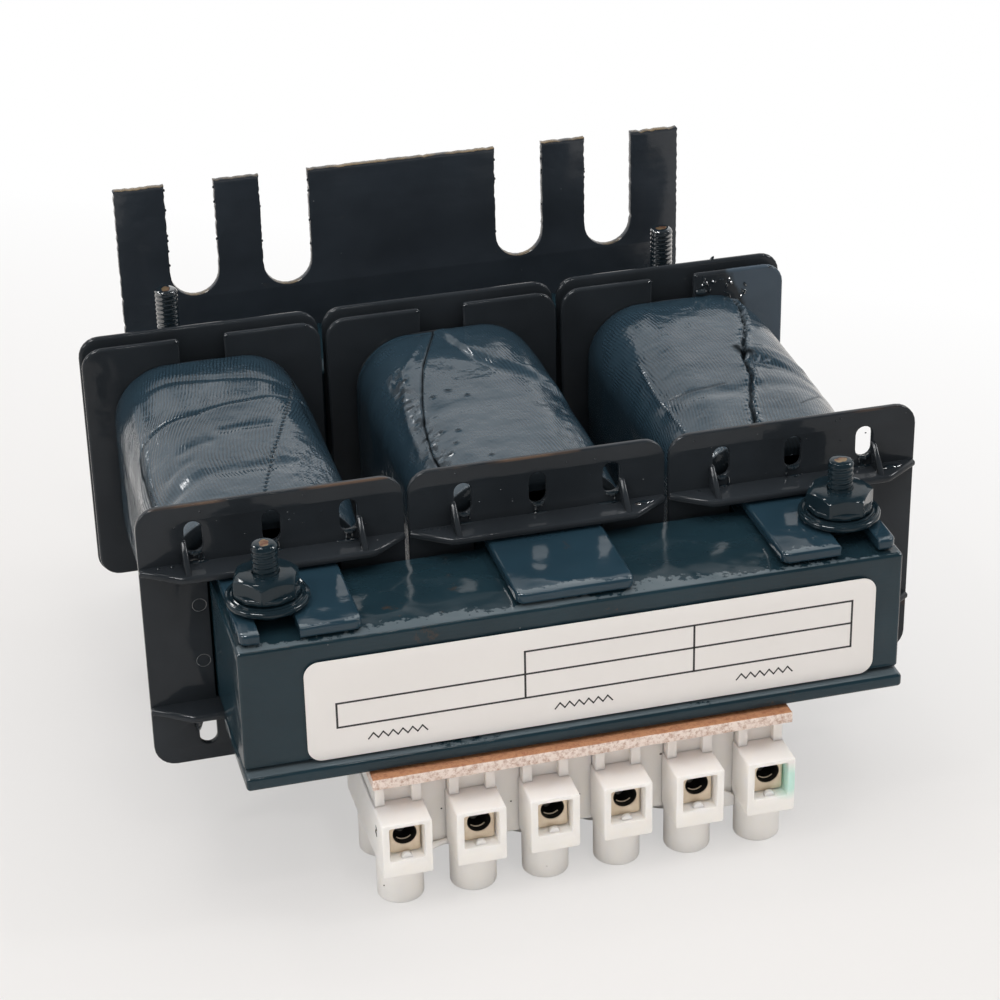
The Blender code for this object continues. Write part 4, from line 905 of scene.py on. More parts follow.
folds_of = {"left": left_folds, "middle": middle_folds, "right": right_folds}
rib_lean = {
    "left": ((0, 0.12), (13, 0.12), (17, 0.0), (22, -0.2), (28, -0.42), (35, -0.42), (38, -0.2), (50, -0.2)),
    "middle": ((0, 0.14), (50, 0.16)),
    "right": ((0, -0.21), (18, -0.18), (30, 0.08), (50, 0.17)),
}
top_columns, columns, rows, top_share, narrow_length = 300, 400, 240, 0.40, 20.0
tape_corner, wrap_shoulder = 9.0, 4.5
for index, (phase, coil_x) in enumerate(phases):
    low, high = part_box(f"coil_wrap_{phase}")
    size = (high - low) / MM
    dense = np.linspace(-top_share / 2, top_share / 2, top_columns, endpoint=False)
    sparse = np.linspace(top_share / 2, 1 - top_share / 2, columns - top_columns, endpoint=False)
    share = np.concatenate([dense, sparse])
    y = np.linspace(0, size.y, rows)
    share, y = np.meshgrid(share, y)
    x, z, way = around(share, size.x / 2, size.z / 2, tape_corner)
    s = ((share + 0.5) % 1.0 - 0.5) * way
    outward_x = np.roll(z, -1, axis=1) - np.roll(z, 1, axis=1)
    outward_z = np.roll(x, 1, axis=1) - np.roll(x, -1, axis=1)
    reach = np.hypot(outward_x, outward_z)
    outward_x, outward_z = -outward_x / reach, -outward_z / reach
    flip = np.sign(outward_x * x + outward_z * z)
    outward_x, outward_z = outward_x * flip, outward_z * flip
    from_end = np.minimum(y, size.y - y)
    turn_in = np.clip(1 - from_end / wrap_shoulder, 0, 1)
    inset = wrap_shoulder_drop * (1 - np.sqrt(np.clip(1 - turn_in ** 2, 0, 1)))
    inset += wrap_taper * (1 - y / size.y)
    height = 0.10 * soft_noise(s, y, 9.0, 31 + index) + 0.05 * soft_noise(s, y, 3.5, 41 + index)
    folds, painted_shade, frayed_and_glints, shown = folds_of[phase](s, y)
    # Painted shade on the coil's front end, which is seen through the flange slots.
    painted_shade = painted_shade + 0.92 * step(2.4 - y, 0.7)
    height += folds - 0.22 * step(y - size.y + 6, 7.0)
    height *= step(from_end - 0.3, 1.6)
    ahead = np.clip(1 - y / narrow_length, 0, 1)
    inset += narrowing_of[phase] * ahead ** 2 * step(outward_x - 0.35, 0.9)
    height = np.minimum(height - inset, 0.45)
    x, z = x + outward_x * height, z + outward_z * height
    middle_x, _, middle_z = middle_of(low, high)
    inner_x, inner_z, _ = around(share[0], 10.9, 11.9, 2.2)
    rings = [(inner_x, 0 * inner_x, inner_z), (x, y, z), (inner_x, 0 * inner_x + size.y, inner_z)]
    verts = np.concatenate([
        np.stack([middle_x + a * MM, low.y + b * MM, middle_z + c * MM], -1).reshape(-1, 3) for a, b, c in rings
    ])
    quads = []
    for row in range(rows + 1):
        here, following = row * columns, (row + 1) * columns
        for c, d in ((c, (c + 1) % columns) for c in range(columns)):
            quads.append((here + c, here + d, following + d, following + c))
    last = (rows + 1) * columns
    quads += [(last + c, last + (c + 1) % columns, (c + 1) % columns, c) for c in range(columns)]
    skin = bpy.data.meshes.new(f"taped_coil_{phase}")
    skin.from_pydata(verts.tolist(), [], quads)
    lay = skin.attributes.new("tape_lay", "FLOAT_VECTOR", "POINT")
    stations = np.linspace(0, size.y, 200)
    lean = np.interp(stations, [p[0] for p in rib_lean[phase]], [p[1] for p in rib_lean[phase]])
    drift = np.interp(y, stations, np.cumsum(lean) * (stations[1] - stations[0]))
    ribs = np.stack([s + drift, y, shown], -1).reshape(-1, 3)
    edge_ribs = [np.stack([s[r], y[r], np.zeros(columns)], -1) for r in (0, -1)]
    lay_values = np.concatenate([edge_ribs[0], ribs, edge_ribs[1]])
    lay.data.foreach_set("vector", lay_values.astype(np.float32).ravel())
    # The skin's end rings get full painted shade and no fray.
    for layer, values in (("painted_shade", painted_shade), ("frayed_and_glints", frayed_and_glints)):
        wear = skin.attributes.new(layer, "FLOAT", "POINT")
        front_end = np.full(columns, 1.0 if layer == "painted_shade" else 0.0)
        values = np.clip(np.concatenate([front_end, values.ravel(), front_end]), 0, 1)
        wear.data.foreach_set("value", values.astype(np.float32))
    skin = set_up(skin, f"taped_coil_{phase}", "Z", (0, 0, 0))
    skin.shade_smooth()
    skin.set_sharp_from_angle(angle=math.radians(60))
    fillets = []
    for start, end in ((-0.19, -0.12), (-0.05, 0.03), (0.07, 0.15)):
        stretch = np.linspace(start, end, 12)
        path_x, path_z, _ = around(stretch, size.x / 2 - 0.75, size.z / 2 - 0.75, tape_corner - 0.7)
        swell = np.sin(np.linspace(0.1, 3.0, 12)) * (0.8 + 0.2 * np.cos(np.arange(12) * 2.3 + index))
        swell = 0.35 + 0.65 * swell
        run = [(float(a), 0.0, float(b), float(c)) for a, b, c in zip(path_x, path_z, swell)]
        fillets.append(run_of_varnish((middle_x, high.y - 0.15 * MM, middle_z), run, 0.5))
    fillet = linked(f"varnish_fillet_{phase}", together("varnish_fillet", fillets), bobbin_varnish)
    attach(fillet, "root")
    coil = linked(f"taped_coil_{phase}", skin, tape_varnish)
    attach(coil, "root")
    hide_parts(f"coil_wrap_{phase}")

# Wedges: flat strips of laminate driven in between the legs and the bobbins, with eased edges. They stick out
# over the yoke, where the outer two are notched round the bolts, and carry their own coat of varnish.

wedge_varnish = dip_varnish("wedge_varnish", (0.015, 0.036, 0.053), 0.08, sag=0.05, haze=1.0)
wedge_notch = 5.2 * MM
# Painted reflection: lighter patches along the wedges' front edges, on their upper faces.
painted_reflection_band(wedge_varnish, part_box("wedge_middle")[0].y, 3.2 * MM, (0.118, 0.148, 0.168))
for phase, coil_x in phases:
    low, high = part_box(f"wedge_{phase}")
    wedge_at = middle_of(low, high)
    rim = rounded_rectangle(high.x - low.x, high.y - low.y, 1.2 * MM, 5)
    strip = plate_with_edges("wedge", [rim], high.z - low.z, 0.45 * MM, "Z", wedge_at, 4)
    if phase != "middle":
        hole_y = front_bolt_y - low.y
        notch = oblong(0, 0, wedge_notch, 2 * hole_y + wedge_notch, 12)
        notch_at = (math.copysign(bolt_x, coil_x), low.y, wedge_at[2])
        cutter = plate_with_edges("notch", [notch], 5 * MM, 0.2 * MM, "Z", notch_at, 1)
        strip = without("wedge", strip, [cutter])
    wedge = linked(f"wedge_strip_{phase}", together(f"wedge_strip_{phase}", [strip]), wedge_varnish)
    if phase != "middle":
        ease = wedge.modifiers.new("notch_edges", "BEVEL")
        ease.width = 0.18 * MM
        ease.segments = 2
        ease.angle_limit = math.radians(55)
    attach(wedge, "root")
    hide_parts(f"wedge_{phase}")

# Mounting plate: cut from steel sheet with open slots in both long edges. Its sheared edges are a little ragged
# and thinly coated, so that brown metal shows along them, and three weld beads hold it to the rear yoke.

plate_varnish = dip_varnish(
    "plate_varnish", (0.026, 0.033, 0.042), 0.20, sag=0.05, haze=0.4, bare=(0.05, 0.05, 0.045)
)
tree = plate_varnish.node_tree
shader = tree.nodes["Principled BSDF"]
coat_colour = shader.inputs["Base Color"].links[0].from_socket
place = spot(tree)
facing = node(tree, "ShaderNodeSeparateXYZ", Vector=spot(tree, "Normal"))
upward = maths(tree, "ABSOLUTE", facing.outputs["Z"])
patches = noise(tree, place, 180, 5, 0.7)
bare_edge = maths(tree, "MULTIPLY", upward, patches)
bare_edge = graded(tree, bare_edge, 0.38, 0.56, 0.0, 0.8)
edged = between(tree, bare_edge, coat_colour, (0.20, 0.14, 0.07))
way = node(tree, "ShaderNodeSeparateXYZ", Vector=place)
# Painted reflection: a lighter patch along the top of the mounting plate's right prong.
streaked = noise(tree, place, 520, 5, 0.65)
upper = maths(tree, "MULTIPLY_ADD", streaked, 4.0 * MM, way.outputs["Z"])
upper = graded(tree, upper, 32.4 * MM, 33.0 * MM)
prong = graded(tree, way.outputs["X"], 44.0 * MM, 47.0 * MM)
painted_sheen_or_label_film = maths(tree, "MULTIPLY", upper, prong)
with_painted_reflection = between(tree, painted_sheen_or_label_film, edged, (0.085, 0.092, 0.105))
tree.links.new(with_painted_reflection, shader.inputs["Base Color"])

low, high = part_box("mounting_plate")
plate_thickness = 1.2 * MM
plate_y = high.y - plate_thickness / 2
plate_half, plate_top = (high.x - low.x) / 2, (high.z - low.z) / 2
slot_radius, slot_depth = 3.75 * MM, 18.4 * MM
sheared = np.random.default_rng(3)


def sheared_line(start, end, spacing=0.55 * MM, burr=0.075 * MM):
    """Points along a sheared edge, each a little off the line; the end point is left out."""
    start, end = Vector(start), Vector(end)
    count = max(1, int((end - start).length / spacing))
    across = Vector((end.y - start.y, start.x - end.x)).normalized()
    points = [start]
    for i in range(1, count):
        points.append(start.lerp(end, i / count) - across * abs(float(sheared.normal(0, burr))))
    return [tuple(point) for point in points]


def slotted_edge(sign):
    """One long edge with its four slots, run from right to left on the upper edge and back on the lower one."""
    corners = [(sign * plate_half, sign * (plate_top - 0.2 * MM)), (sign * (plate_half - 0.2 * MM), sign * plate_top)]
    points = sheared_line(corners[0], corners[1])
    here = corners[1]
    for slot_x in (33.0 * MM, 18.5 * MM, -18.5 * MM, -33.0 * MM):
        mouth = (sign * (slot_x + slot_radius), sign * plate_top)
        root_z = sign * (plate_top - slot_depth + slot_radius)
        points += sheared_line(here, mouth)
        points += sheared_line(mouth, (mouth[0], root_z), burr=0.065 * MM)
        start = 0 if sign > 0 else 180
        points += arc((sign * slot_x, root_z), slot_radius, start, start - 180, 14)[:-1]
        here = (sign * (slot_x - slot_radius), sign * plate_top)
        points += sheared_line((here[0], root_z), here, burr=0.065 * MM)
    last = (-sign * (plate_half - 0.2 * MM), sign * plate_top)
    points += sheared_line(here, last)
    points += sheared_line(last, (-sign * plate_half, sign * (plate_top - 0.2 * MM)))
    return points


plate_rim = slotted_edge(1) + sheared_line((-plate_half, plate_top - 0.2 * MM), (-plate_half, -plate_top + 0.2 * MM))
plate_rim += slotted_edge(-1) + sheared_line((plate_half, -plate_top + 0.2 * MM), (plate_half, plate_top - 0.2 * MM))
steel = [plate_with_edges("plate", [plate_rim], plate_thickness, 0.16 * MM, "Y", (0, plate_y, 0), 2)]
for _ in range(26):
    slot_x, hand = sheared.choice([-33.0, -18.5, 18.5, 33.0]) * MM, sheared.choice([-1, 1])
    nub_z = plate_top - sheared.uniform(0.6, 14) * MM
    nub_at = (slot_x + hand * (slot_radius + 0.02 * MM), plate_y - 0.3 * MM, nub_z)
    nub = [(0, 0, -0.15, 0.6), (-0.05 * hand, 0, 0, 1), (0, 0, 0.2, 0.5)]
    steel.append(run_of_varnish(nub_at, nub, sheared.uniform(0.22, 0.42)))
weld_leg, weld_length = 2.0 * MM, 12.0 * MM
for weld_x in (-22 * MM, 0.0, 22 * MM):
    ripples = 30
    bead = bmesh.new()
    rings = []
    for i in range(ripples + 1):
        along = i / ripples
        x = weld_x + (along - 0.5) * weld_length
        taper = min(1, 5 * math.sqrt(min(along, 1 - along) + 0.002))
        reach = weld_leg * (0.90 + 0.08 * math.sin(i * 2.1)) * taper
        ring = [bead.verts.new((x, high.y - plate_thickness + 0.2 * MM, core_low.z + 0.2 * MM))]
        for a in range(7):
            turn_angle = math.radians(90 * a / 6)
            ring.append(
                bead.verts.new((
                    x + 0.25 * MM * math.sin(turn_angle * 2),
                    high.y - plate_thickness - reach * math.sin(turn_angle),
                    core_low.z - reach * math.cos(turn_angle),
                ))
            )
        rings.append(ring)
    join_rings(bead, rings)
    bead.faces.new(rings[0])
    bead.faces.new(list(reversed(rings[-1])))
    bmesh.ops.recalc_face_normals(bead, faces=bead.faces)
    bead_mesh = bpy.data.meshes.new("bead")
    bead.to_mesh(bead_mesh)
    bead.free()
    steel.append(bead_mesh)
plate = linked("slotted_plate", together("slotted_plate", steel), plate_varnish)
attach(plate, "root")
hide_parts("mounting_plate")

# Bracket strip: a steel strip under the front yoke, clamped by the same bolts. Its rounded front edge makes the
# lip under the label and carries the terminal board.

low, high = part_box("terminal_bracket")
strip_x, strip_y, _ = middle_of(low, high)
strip_rim = rounded_rectangle(high.x - low.x, high.y - low.y, 0.5 * MM, 3, (strip_x, strip_y))
middle_z = (low.z + high.z) / 2
strip = plate_with_edges("bracket_strip", [strip_rim], high.z - low.z, 0.55 * MM, "Z", (0, 0, middle_z), 5)
pole_count, pole_pitch = 6, 10.0 * MM
rivet_x, rivet_y = 2 * pole_pitch, (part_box("strip_rivet_left")[0].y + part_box("strip_rivet_left")[1].y) / 2
holes = [rod("hole", bolt_hole, 10 * MM, (side * bolt_x, front_bolt_y, low.z)) for side in (-1, 1)]
holes += [rod("hole", 2.4 * MM, 10 * MM, (side * rivet_x, rivet_y, low.z)) for side in (-1, 1)]
bracket = linked("bracket_strip", together("bracket_strip", [without("bracket_strip", strip, holes)]), core_varnish)
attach(bracket, "root")
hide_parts("terminal_bracket")

# Terminal board: red-brown fibre sheet. Its faces are smooth and its sawn edges are pale and fibrous.

board_face, tree, shader = finish_of("fibre_board")
place = spot(tree)
facing = node(tree, "ShaderNodeSeparateXYZ", Vector=spot(tree, "Normal"))
flat = maths(tree, "ABSOLUTE", facing.outputs["Z"])
flat = graded(tree, flat, 0.35, 0.75)
fibres = noise(tree, place, 1900, 4, 0.7)
fibres = graded(tree, fibres, 0.34, 0.56)
sawn = between(tree, fibres, (0.52, 0.34, 0.26), (0.86, 0.74, 0.67))
smooth_face = between(tree, fibres, (0.38, 0.14, 0.06), (0.52, 0.24, 0.11))
board_tone = between(tree, flat, sawn, smooth_face)
tree.links.new(board_tone, shader.inputs["Base Color"])
roughen(tree, shader, fibres, 0.6, 0.06 * MM)
shader.inputs["Roughness"].default_value = 0.62

low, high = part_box("terminal_board")
board_rim = []
board_corners = [(low.x, low.y), (high.x, low.y), (high.x, high.y), (low.x, high.y)]
for start, end in zip(board_corners, board_corners[1:] + board_corners[:1]):
    board_rim += sheared_line(start, end, 1.6 * MM, 0.03 * MM)
board_mesh = plate_with_edges("board", [board_rim], high.z - low.z, 0.12 * MM, "Z", (0, 0, (low.z + high.z) / 2), 2)
holes = [rod("hole", 2.4 * MM, 10 * MM, (side * rivet_x, rivet_y, low.z)) for side in (-1, 1)]
board = linked("fibre_board", together("fibre_board", [without("board", board_mesh, holes)], 30), board_face)
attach(board, "root")
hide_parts("terminal_board")

# Terminal housing: six poles moulded in milky polyamide on a thin base. Each has a wire channel through it, a
# screw tower at both ends, a recessed neck, and a small stop that keeps its clamp in.

polyamide, tree, shader = finish_of("milky_polyamide")
place = spot(tree)
cloud = noise(tree, place, 150, 3)
milk = between(tree, cloud, (0.86, 0.83, 0.79), (0.92, 0.90, 0.87))
grit = node(tree, "ShaderNodeTexVoronoi", Vector=place, Scale=210, Randomness=1.0).outputs["Distance"]
grit = graded(tree, grit, 0.045, 0.035)
few = noise(tree, place, 130, 0)
few = graded(tree, few, 0.60, 0.64)
speck = maths(tree, "MULTIPLY", grit, few)
flecked = between(tree, speck, milk, (0.10, 0.08, 0.06))
low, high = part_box("terminal_housing")
stained_at = (high.x - 0.7 * MM, low.y + 1.0 * MM, high.z - 7.2 * MM)
near = node(tree, "ShaderNodeVectorMath", operation="DISTANCE", _0=place, _1=stained_at)
dye = graded(tree, near.outputs["Value"], 3.2 * MM, 1.6 * MM, 0.0, 0.75)
dyed = between(tree, dye, flecked, (0.42, 0.76, 0.66))
tree.links.new(dyed, shader.inputs["Base Color"])
skin_noise = noise(tree, place, 700, 2)
roughen(tree, shader, skin_noise, 0.4, 0.05 * MM)
shader.inputs["Roughness"].default_value = 0.38
shader.inputs["Subsurface Weight"].default_value = 0.6
shader.inputs["Subsurface Radius"].default_value = (1.0, 0.93, 0.82)
shader.inputs["Subsurface Scale"].default_value = 1.6 * MM

low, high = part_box("terminal_housing")
pole_width, pole_depth, body_height = 6.7 * MM, high.y - low.y, 8.2 * MM
tower_height, tower_diameter, tower_bore, tower_inset = 6.15 * MM, 6.3 * MM, 4.4 * MM, 5.6 * MM
neck_height, neck_inset, web_height = 3.6 * MM, 4.7 * MM, 1.5 * MM
entry_width, entry_height, entry_margin = 4.7 * MM, 5.1 * MM, 0.65 * MM
body_top, pole_y = high.z - neck_height, (low.y + high.y) / 2
body_z, entry_z = body_top - body_height / 2, body_top - entry_margin - entry_height / 2
first_x = -pole_pitch * (pole_count - 1) / 2


def tower(x, y, top, bottom):
    """A hollow screw tower with rounded rims, drawn by turning its section."""
    outer, inner, rim = tower_diameter / 2, tower_bore / 2, 0.22 * MM
    section = [(inner, top), (outer, top)]
    section += [(outer - rim + rim * math.cos(a), bottom + rim - rim * math.sin(a)) for a in (0, 0.52, 1.05, 1.57)]
    section += [(inner + rim - rim * math.sin(a), bottom + rim - rim * math.cos(a)) for a in (0, 0.52, 1.05, 1.57)]
    work = bmesh.new()
    steps = 40
    rings = [
        [
            work.verts.new((x + r * math.cos(2 * math.pi * i / steps), y + r * math.sin(2 * math.pi * i / steps), z))
            for r, z in section
        ]
        for i in range(steps)
    ]
    for i, ring in enumerate(rings):
        following = rings[(i + 1) % steps]
        for j in range(len(section)):
            work.faces.new((ring[j - 1], ring[j], following[j], following[j - 1]))
    return closed_mesh("tower", work)


moulded = []
for pole in range(pole_count):
    x = first_x + pole * pole_pitch
    rim = rounded_rectangle(pole_width, body_height, 0.3 * MM, 3)
    entry = rounded_rectangle(entry_width, entry_height, 0.25 * MM, 2, (0, entry_z - body_z))
    shell = plate_with_edges("body", [rim, entry], pole_depth, 0.16 * MM, "Y", (x, pole_y, body_z), 2)
    ways = [
        rod("way", tower_bore, 4 * MM, (x, y, body_z - body_height / 2), 32)
        for y in (low.y + tower_inset, high.y - tower_inset)
    ]
    moulded.append(without("body", shell, ways))
    half, deep = pole_width / 2 - 0.25 * MM, pole_depth / 2 - neck_inset
    cut, cut_half = 1.1 * MM, 1.85 * MM
    neck = [(-half, -deep), (-cut_half, -deep), (-cut_half, cut - deep), (cut_half, cut - deep), (cut_half, -deep)]
    neck += [(half, -deep), (half, deep), (cut_half, deep), (cut_half, deep - cut), (-cut_half, deep - cut)]
    neck += [(-cut_half, deep), (-half, deep)]
    neck_at = (x, pole_y, body_top + neck_height / 2 - 0.25 * MM)
    moulded.append(plate_with_edges("neck", [neck], neck_height + 0.5 * MM, 0.15 * MM, "Z", neck_at, 2))
    for y in (low.y + tower_inset, high.y - tower_inset):
        moulded.append(tower(x, y, body_z - body_height / 2 + 0.4 * MM, low.z))
    for y in (low.y + 0.85 * MM, high.y - 0.85 * MM):
        stop = arc((0, 0), 0.75 * MM, 0, 180, 8)
        sill_z = entry_z - entry_height / 2 - 0.05 * MM
        moulded.append(plate_with_edges("stop", [stop], 0.7 * MM, 0.12 * MM, "Y", (x, y, sill_z), 2))
    if pole < pole_count - 1:
        wall = rounded_rectangle(pole_pitch - pole_width + 0.4 * MM, 1.2 * MM, 0.2 * MM, 2)
        wall_low, wall_high = body_z - body_height / 2 - 0.4 * MM, high.z - 0.2 * MM
        wall_at = (x + pole_pitch / 2, low.y + tower_inset + 1.4 * MM, (wall_low + wall_high) / 2)
        moulded.append(plate_with_edges("wall", [wall], wall_high - wall_low, 0.12 * MM, "Z", wall_at, 2))
base_length = pole_pitch * (pole_count - 1) + pole_width - 0.5 * MM
base = rounded_rectangle(base_length, 8 * MM, 0.3 * MM, 3)
base_at = (0, pole_y, high.z - web_height / 2)
base_mesh = plate_with_edges("base", [base], web_height, 0.15 * MM, "Z", base_at, 2)
ways = [rod("way", 2.4 * MM, 6 * MM, (side * rivet_x, rivet_y, high.z), 24) for side in (-1, 1)]
moulded.append(without("base", base_mesh, ways))
gate_z = body_z - body_height / 2 - 0.3 * MM
gate = [(-1.8, 0, -0.1, 0.9), (-0.4, -0.1, 0.1, 1), (0.6, 0, 0.3, 0.7), (1.8, 0, 0.5, 0.8)]
moulded.append(run_of_varnish((first_x + pole_pitch / 2, low.y + tower_inset + 0.4 * MM, gate_z), gate, 1.0))
fin = [(-1.8 * MM, -1.4 * MM), (1.8 * MM, -1.4 * MM), (1.8 * MM, 0.2 * MM), (0.2 * MM, 1.2 * MM)]
fin_at = (-first_x - pole_pitch / 2, low.y + tower_inset + 0.2 * MM, gate_z)
moulded.append(plate_with_edges("fin", [fin], 0.6 * MM, 0.1 * MM, "Y", fin_at, 2))
soiled = sum(len(mesh.polygons) for mesh in moulded)
side_x = first_x - pole_width / 2 + 0.03 * MM
hair = [(0, 2.2, 0.75, 0.4), (0, 1.5, 0.3, 1), (0, 2.4, -0.1, 1), (0, 1.7, -0.6, 0.9), (0, 1.9, -0.9, 0.4)]
moulded.append(run_of_varnish((side_x, low.y + 1.6 * MM, body_z + 1.2 * MM), hair, 0.28))
fleck = [(-0.1, 0, 0, 0.6), (0, 0, 0.05, 1), (0.1, 0, 0, 0.6)]
flecks_at = (
    (first_x - 2.6 * MM, low.y + 3.8 * MM, low.z + 2.4 * MM),
    (-first_x - 0.6 * MM, low.y + 2.4 * MM, low.z + 4.7 * MM),
)
moulded += [run_of_varnish(place, fleck, 0.22) for place in flecks_at]
for gap in range(pole_count - 1):
    x = first_x + (gap + 0.5) * pole_pitch + (1.1 - 0.5 * gap) * MM
    moulded.append(run_of_varnish((x, low.y + tower_inset + 0.8 * MM, body_z + (1.0 - 0.7 * gap) * MM), fleck, 0.26))
dirt, tree, shader = finish_of("black_dirt")
crumbs = noise(tree, spot(tree), 1500, 2)
coat(tree, shader, between(tree, crumbs, (0.010, 0.009, 0.008), (0.040, 0.034, 0.030)), 0.7)
housing = linked("six_pole_housing", together("six_pole_housing", moulded), polyamide, dirt)
for face in list(housing.data.polygons)[soiled:]:
    face.material_index = 1
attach(housing, "root")
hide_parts("terminal_housing")

# Clamps: nickel-plated brass tubes in the wire channels, with a wire bore near the top. Each is held by two
# slotted screws, which are driven from the towers below and reach a little way into the bore.

clamp_metal, tree, shader = finish_of("clamp_metal")
place = spot(tree)
stain = noise(tree, place, 600, 4)
plated = between(tree, stain, (0.56, 0.44, 0.31), (0.84, 0.74, 0.60))
tree.links.new(plated, shader.inputs["Base Color"])
drawn = noise(tree, place, 2500, 2)
roughen(tree, shader, drawn, 0.3, 0.02 * MM)
shader.inputs["Metallic"].default_value = 0.55
shader.inputs["Roughness"].default_value = 0.5

# Painted shade: the wire bore's inner wall is coloured near black, for the shade inside the hole.
painted_bore_shade, tree, shader = finish_of("clamp_bore_painted_shade")
dark = noise(tree, spot(tree), 900, 2)
coat(tree, shader, between(tree, dark, (0.006, 0.006, 0.006), (0.020, 0.018, 0.016)), 0.35)

screw_steel, tree, shader = finish_of("plated_screw_steel")
place = spot(tree)
stain = noise(tree, place, 800, 3)
steel_tone = between(tree, stain, (0.22, 0.21, 0.20), (0.42, 0.41, 0.39))
tree.links.new(steel_tone, shader.inputs["Base Color"])
shader.inputs["Metallic"].default_value = 1.0
shader.inputs["Roughness"].default_value = 0.32


def threaded(name, diameter, pitch, bottom, top, place, steps=20, depth=0.12, tip=0.35 * MM):
    """A threaded rod that runs up from bottom to top, with a real helical ridge that runs out at its tip."""
    radius = diameter / 2
    count = max(4, int((top - bottom) / pitch * 6))
    work = bmesh.new()
    rings = []
    for i in range(count + 1):
        z = bottom + (top - bottom) * i / count
        end = min(1.0, (top - z) / tip)
        ring = []
        for j in range(steps):
            phase_here = (z / pitch - j / steps) % 1.0
            ridge = abs(phase_here * 2 - 1)
            ridge = max(0.0, min(1.0, ridge * 1.6 - 0.3))
            r = radius * (1 - depth * (1 - ridge) * min(1, (z - bottom) / pitch))
            r *= 0.80 + 0.20 * math.sqrt(max(0.0, end))
            turn_angle = 2 * math.pi * j / steps
            ring.append(work.verts.new((place[0] + r * math.cos(turn_angle), place[1] + r * math.sin(turn_angle), z)))
        rings.append(ring)
    join_rings(work, rings)
    work.faces.new(list(reversed(rings[0])))
    centre, worn = Vector((place[0], place[1], top)), []
    for j, vert in enumerate(rings[-1]):
        way = 2 * math.pi * j / steps
        share = 0.55 + 0.12 * math.sin(2 * way + place[0] / MM) + 0.05 * math.sin(5 * way)
        worn.append(work.verts.new(centre + (vert.co - centre) * share))
    for j in range(steps):
        work.faces.new((rings[-1][j - 1], rings[-1][j], worn[j], worn[j - 1]))
    work.faces.new(worn)
    return closed_mesh(name, work)


def turned(name, section, place, steps=32):
    """A closed body of revolution about Z: the section's (radius, height) points run from axis to axis."""
    work = bmesh.new()
    rings = []
    for r, z in section:
        if r == 0:
            rings.append([work.verts.new((place[0], place[1], place[2] + z))])
            continue
        angles = [2 * math.pi * i / steps for i in range(steps)]
        ring = [(place[0] + r * math.cos(a), place[1] + r * math.sin(a), place[2] + z) for a in angles]
        rings.append([work.verts.new(at) for at in ring])
    for ring, following in zip(rings, rings[1:]):
        for i in range(steps):
            a, b = ring[i % len(ring)], ring[(i + 1) % len(ring)]
            c, d = following[(i + 1) % len(following)], following[i % len(following)]
            corners = [a] if a is b else [a, b]
            corners += [c] if c is d else [c, d]
            work.faces.new(corners)
    return closed_mesh(name, work)


wire_bore = 3.2 * MM
screw_diameter, screw_head, screw_head_height = 2.2 * MM, 3.6 * MM, 1.6 * MM
for pole in range(pole_count):
    low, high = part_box(f"clamp_tube_{pole + 1}")
    x, y, z = ((a + b) / 2 for a, b in zip(low, high))
    bore_z = high.z - 0.15 * MM - wire_bore / 2
    body = rounded_rectangle(high.x - low.x, high.z - low.z, 0.35 * MM, 3)
    bore = arc((0, bore_z - z), wire_bore / 2, 0, 360, 32)[:-1]
    parts = [plate_with_edges("clamp", [body, bore], high.y - low.y - 1.2 * MM, 0.12 * MM, "Y", (x, y, z), 2)]
    for end_y in (low.y + 1.5 * MM, high.y - 1.5 * MM):
        lit_turns = [math.radians(a) for a in range(225, 316, 15)]
        thread = [(1.35 * math.cos(a), 0, 1.35 * math.sin(a), 0.4 + 0.6 * abs(math.cos(a - 4.7))) for a in lit_turns]
        parts.append(run_of_varnish((x, end_y, bore_z), thread, 0.20))
    clamp = linked(f"wire_clamp_{pole + 1}", together(f"wire_clamp_{pole + 1}", parts), clamp_metal, painted_bore_shade)
    # Faces on the bore's wall take the painted shade.
    for face in clamp.data.polygons:
        centre = face.center
        off_axis = math.hypot(centre.x - x, centre.z - bore_z)
        if abs(off_axis - wire_bore / 2) < 0.05 * MM and abs(face.normal.y) < 0.3:
            face.material_index = 1
    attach(clamp, "root")
    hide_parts(f"clamp_tube_{pole + 1}")
    for hand in ("front", "rear"):
        low_s, high_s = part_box(f"terminal_screw_{pole + 1}_{hand}")
        x, y, _ = middle_of(low_s, high_s)
        head_top = low_s.z + screw_head_height
        shank = threaded("shank", screw_diameter, 0.45 * MM, head_top - 0.1 * MM, high_s.z, (x, y), 14, 0.14, 0.2 * MM)
        r = screw_head / 2
        head = turned(
            "head",
            [
                (0, screw_head_height), (r * 0.93, screw_head_height), (r, screw_head_height * 0.9),
                (r, 0.25 * MM), (r * 0.88, 0.04 * MM), (r * 0.5, 0), (0, 0),
            ],
            (x, y, low_s.z),
            24,
        )
        slot_cut = plate_with_edges(
            "slot", [rounded_rectangle(5 * MM, 0.6 * MM, 0.05 * MM, 1)], 1.6 * MM, 0.02 * MM, "Z", (x, y, low_s.z), 1
        )
        name = f"slotted_screw_{pole + 1}_{hand}"
        screw = linked(name, together(name, [without("head", head, [slot_cut]), shank]), screw_steel)
        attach(screw, "root")
        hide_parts(f"terminal_screw_{pole + 1}_{hand}")
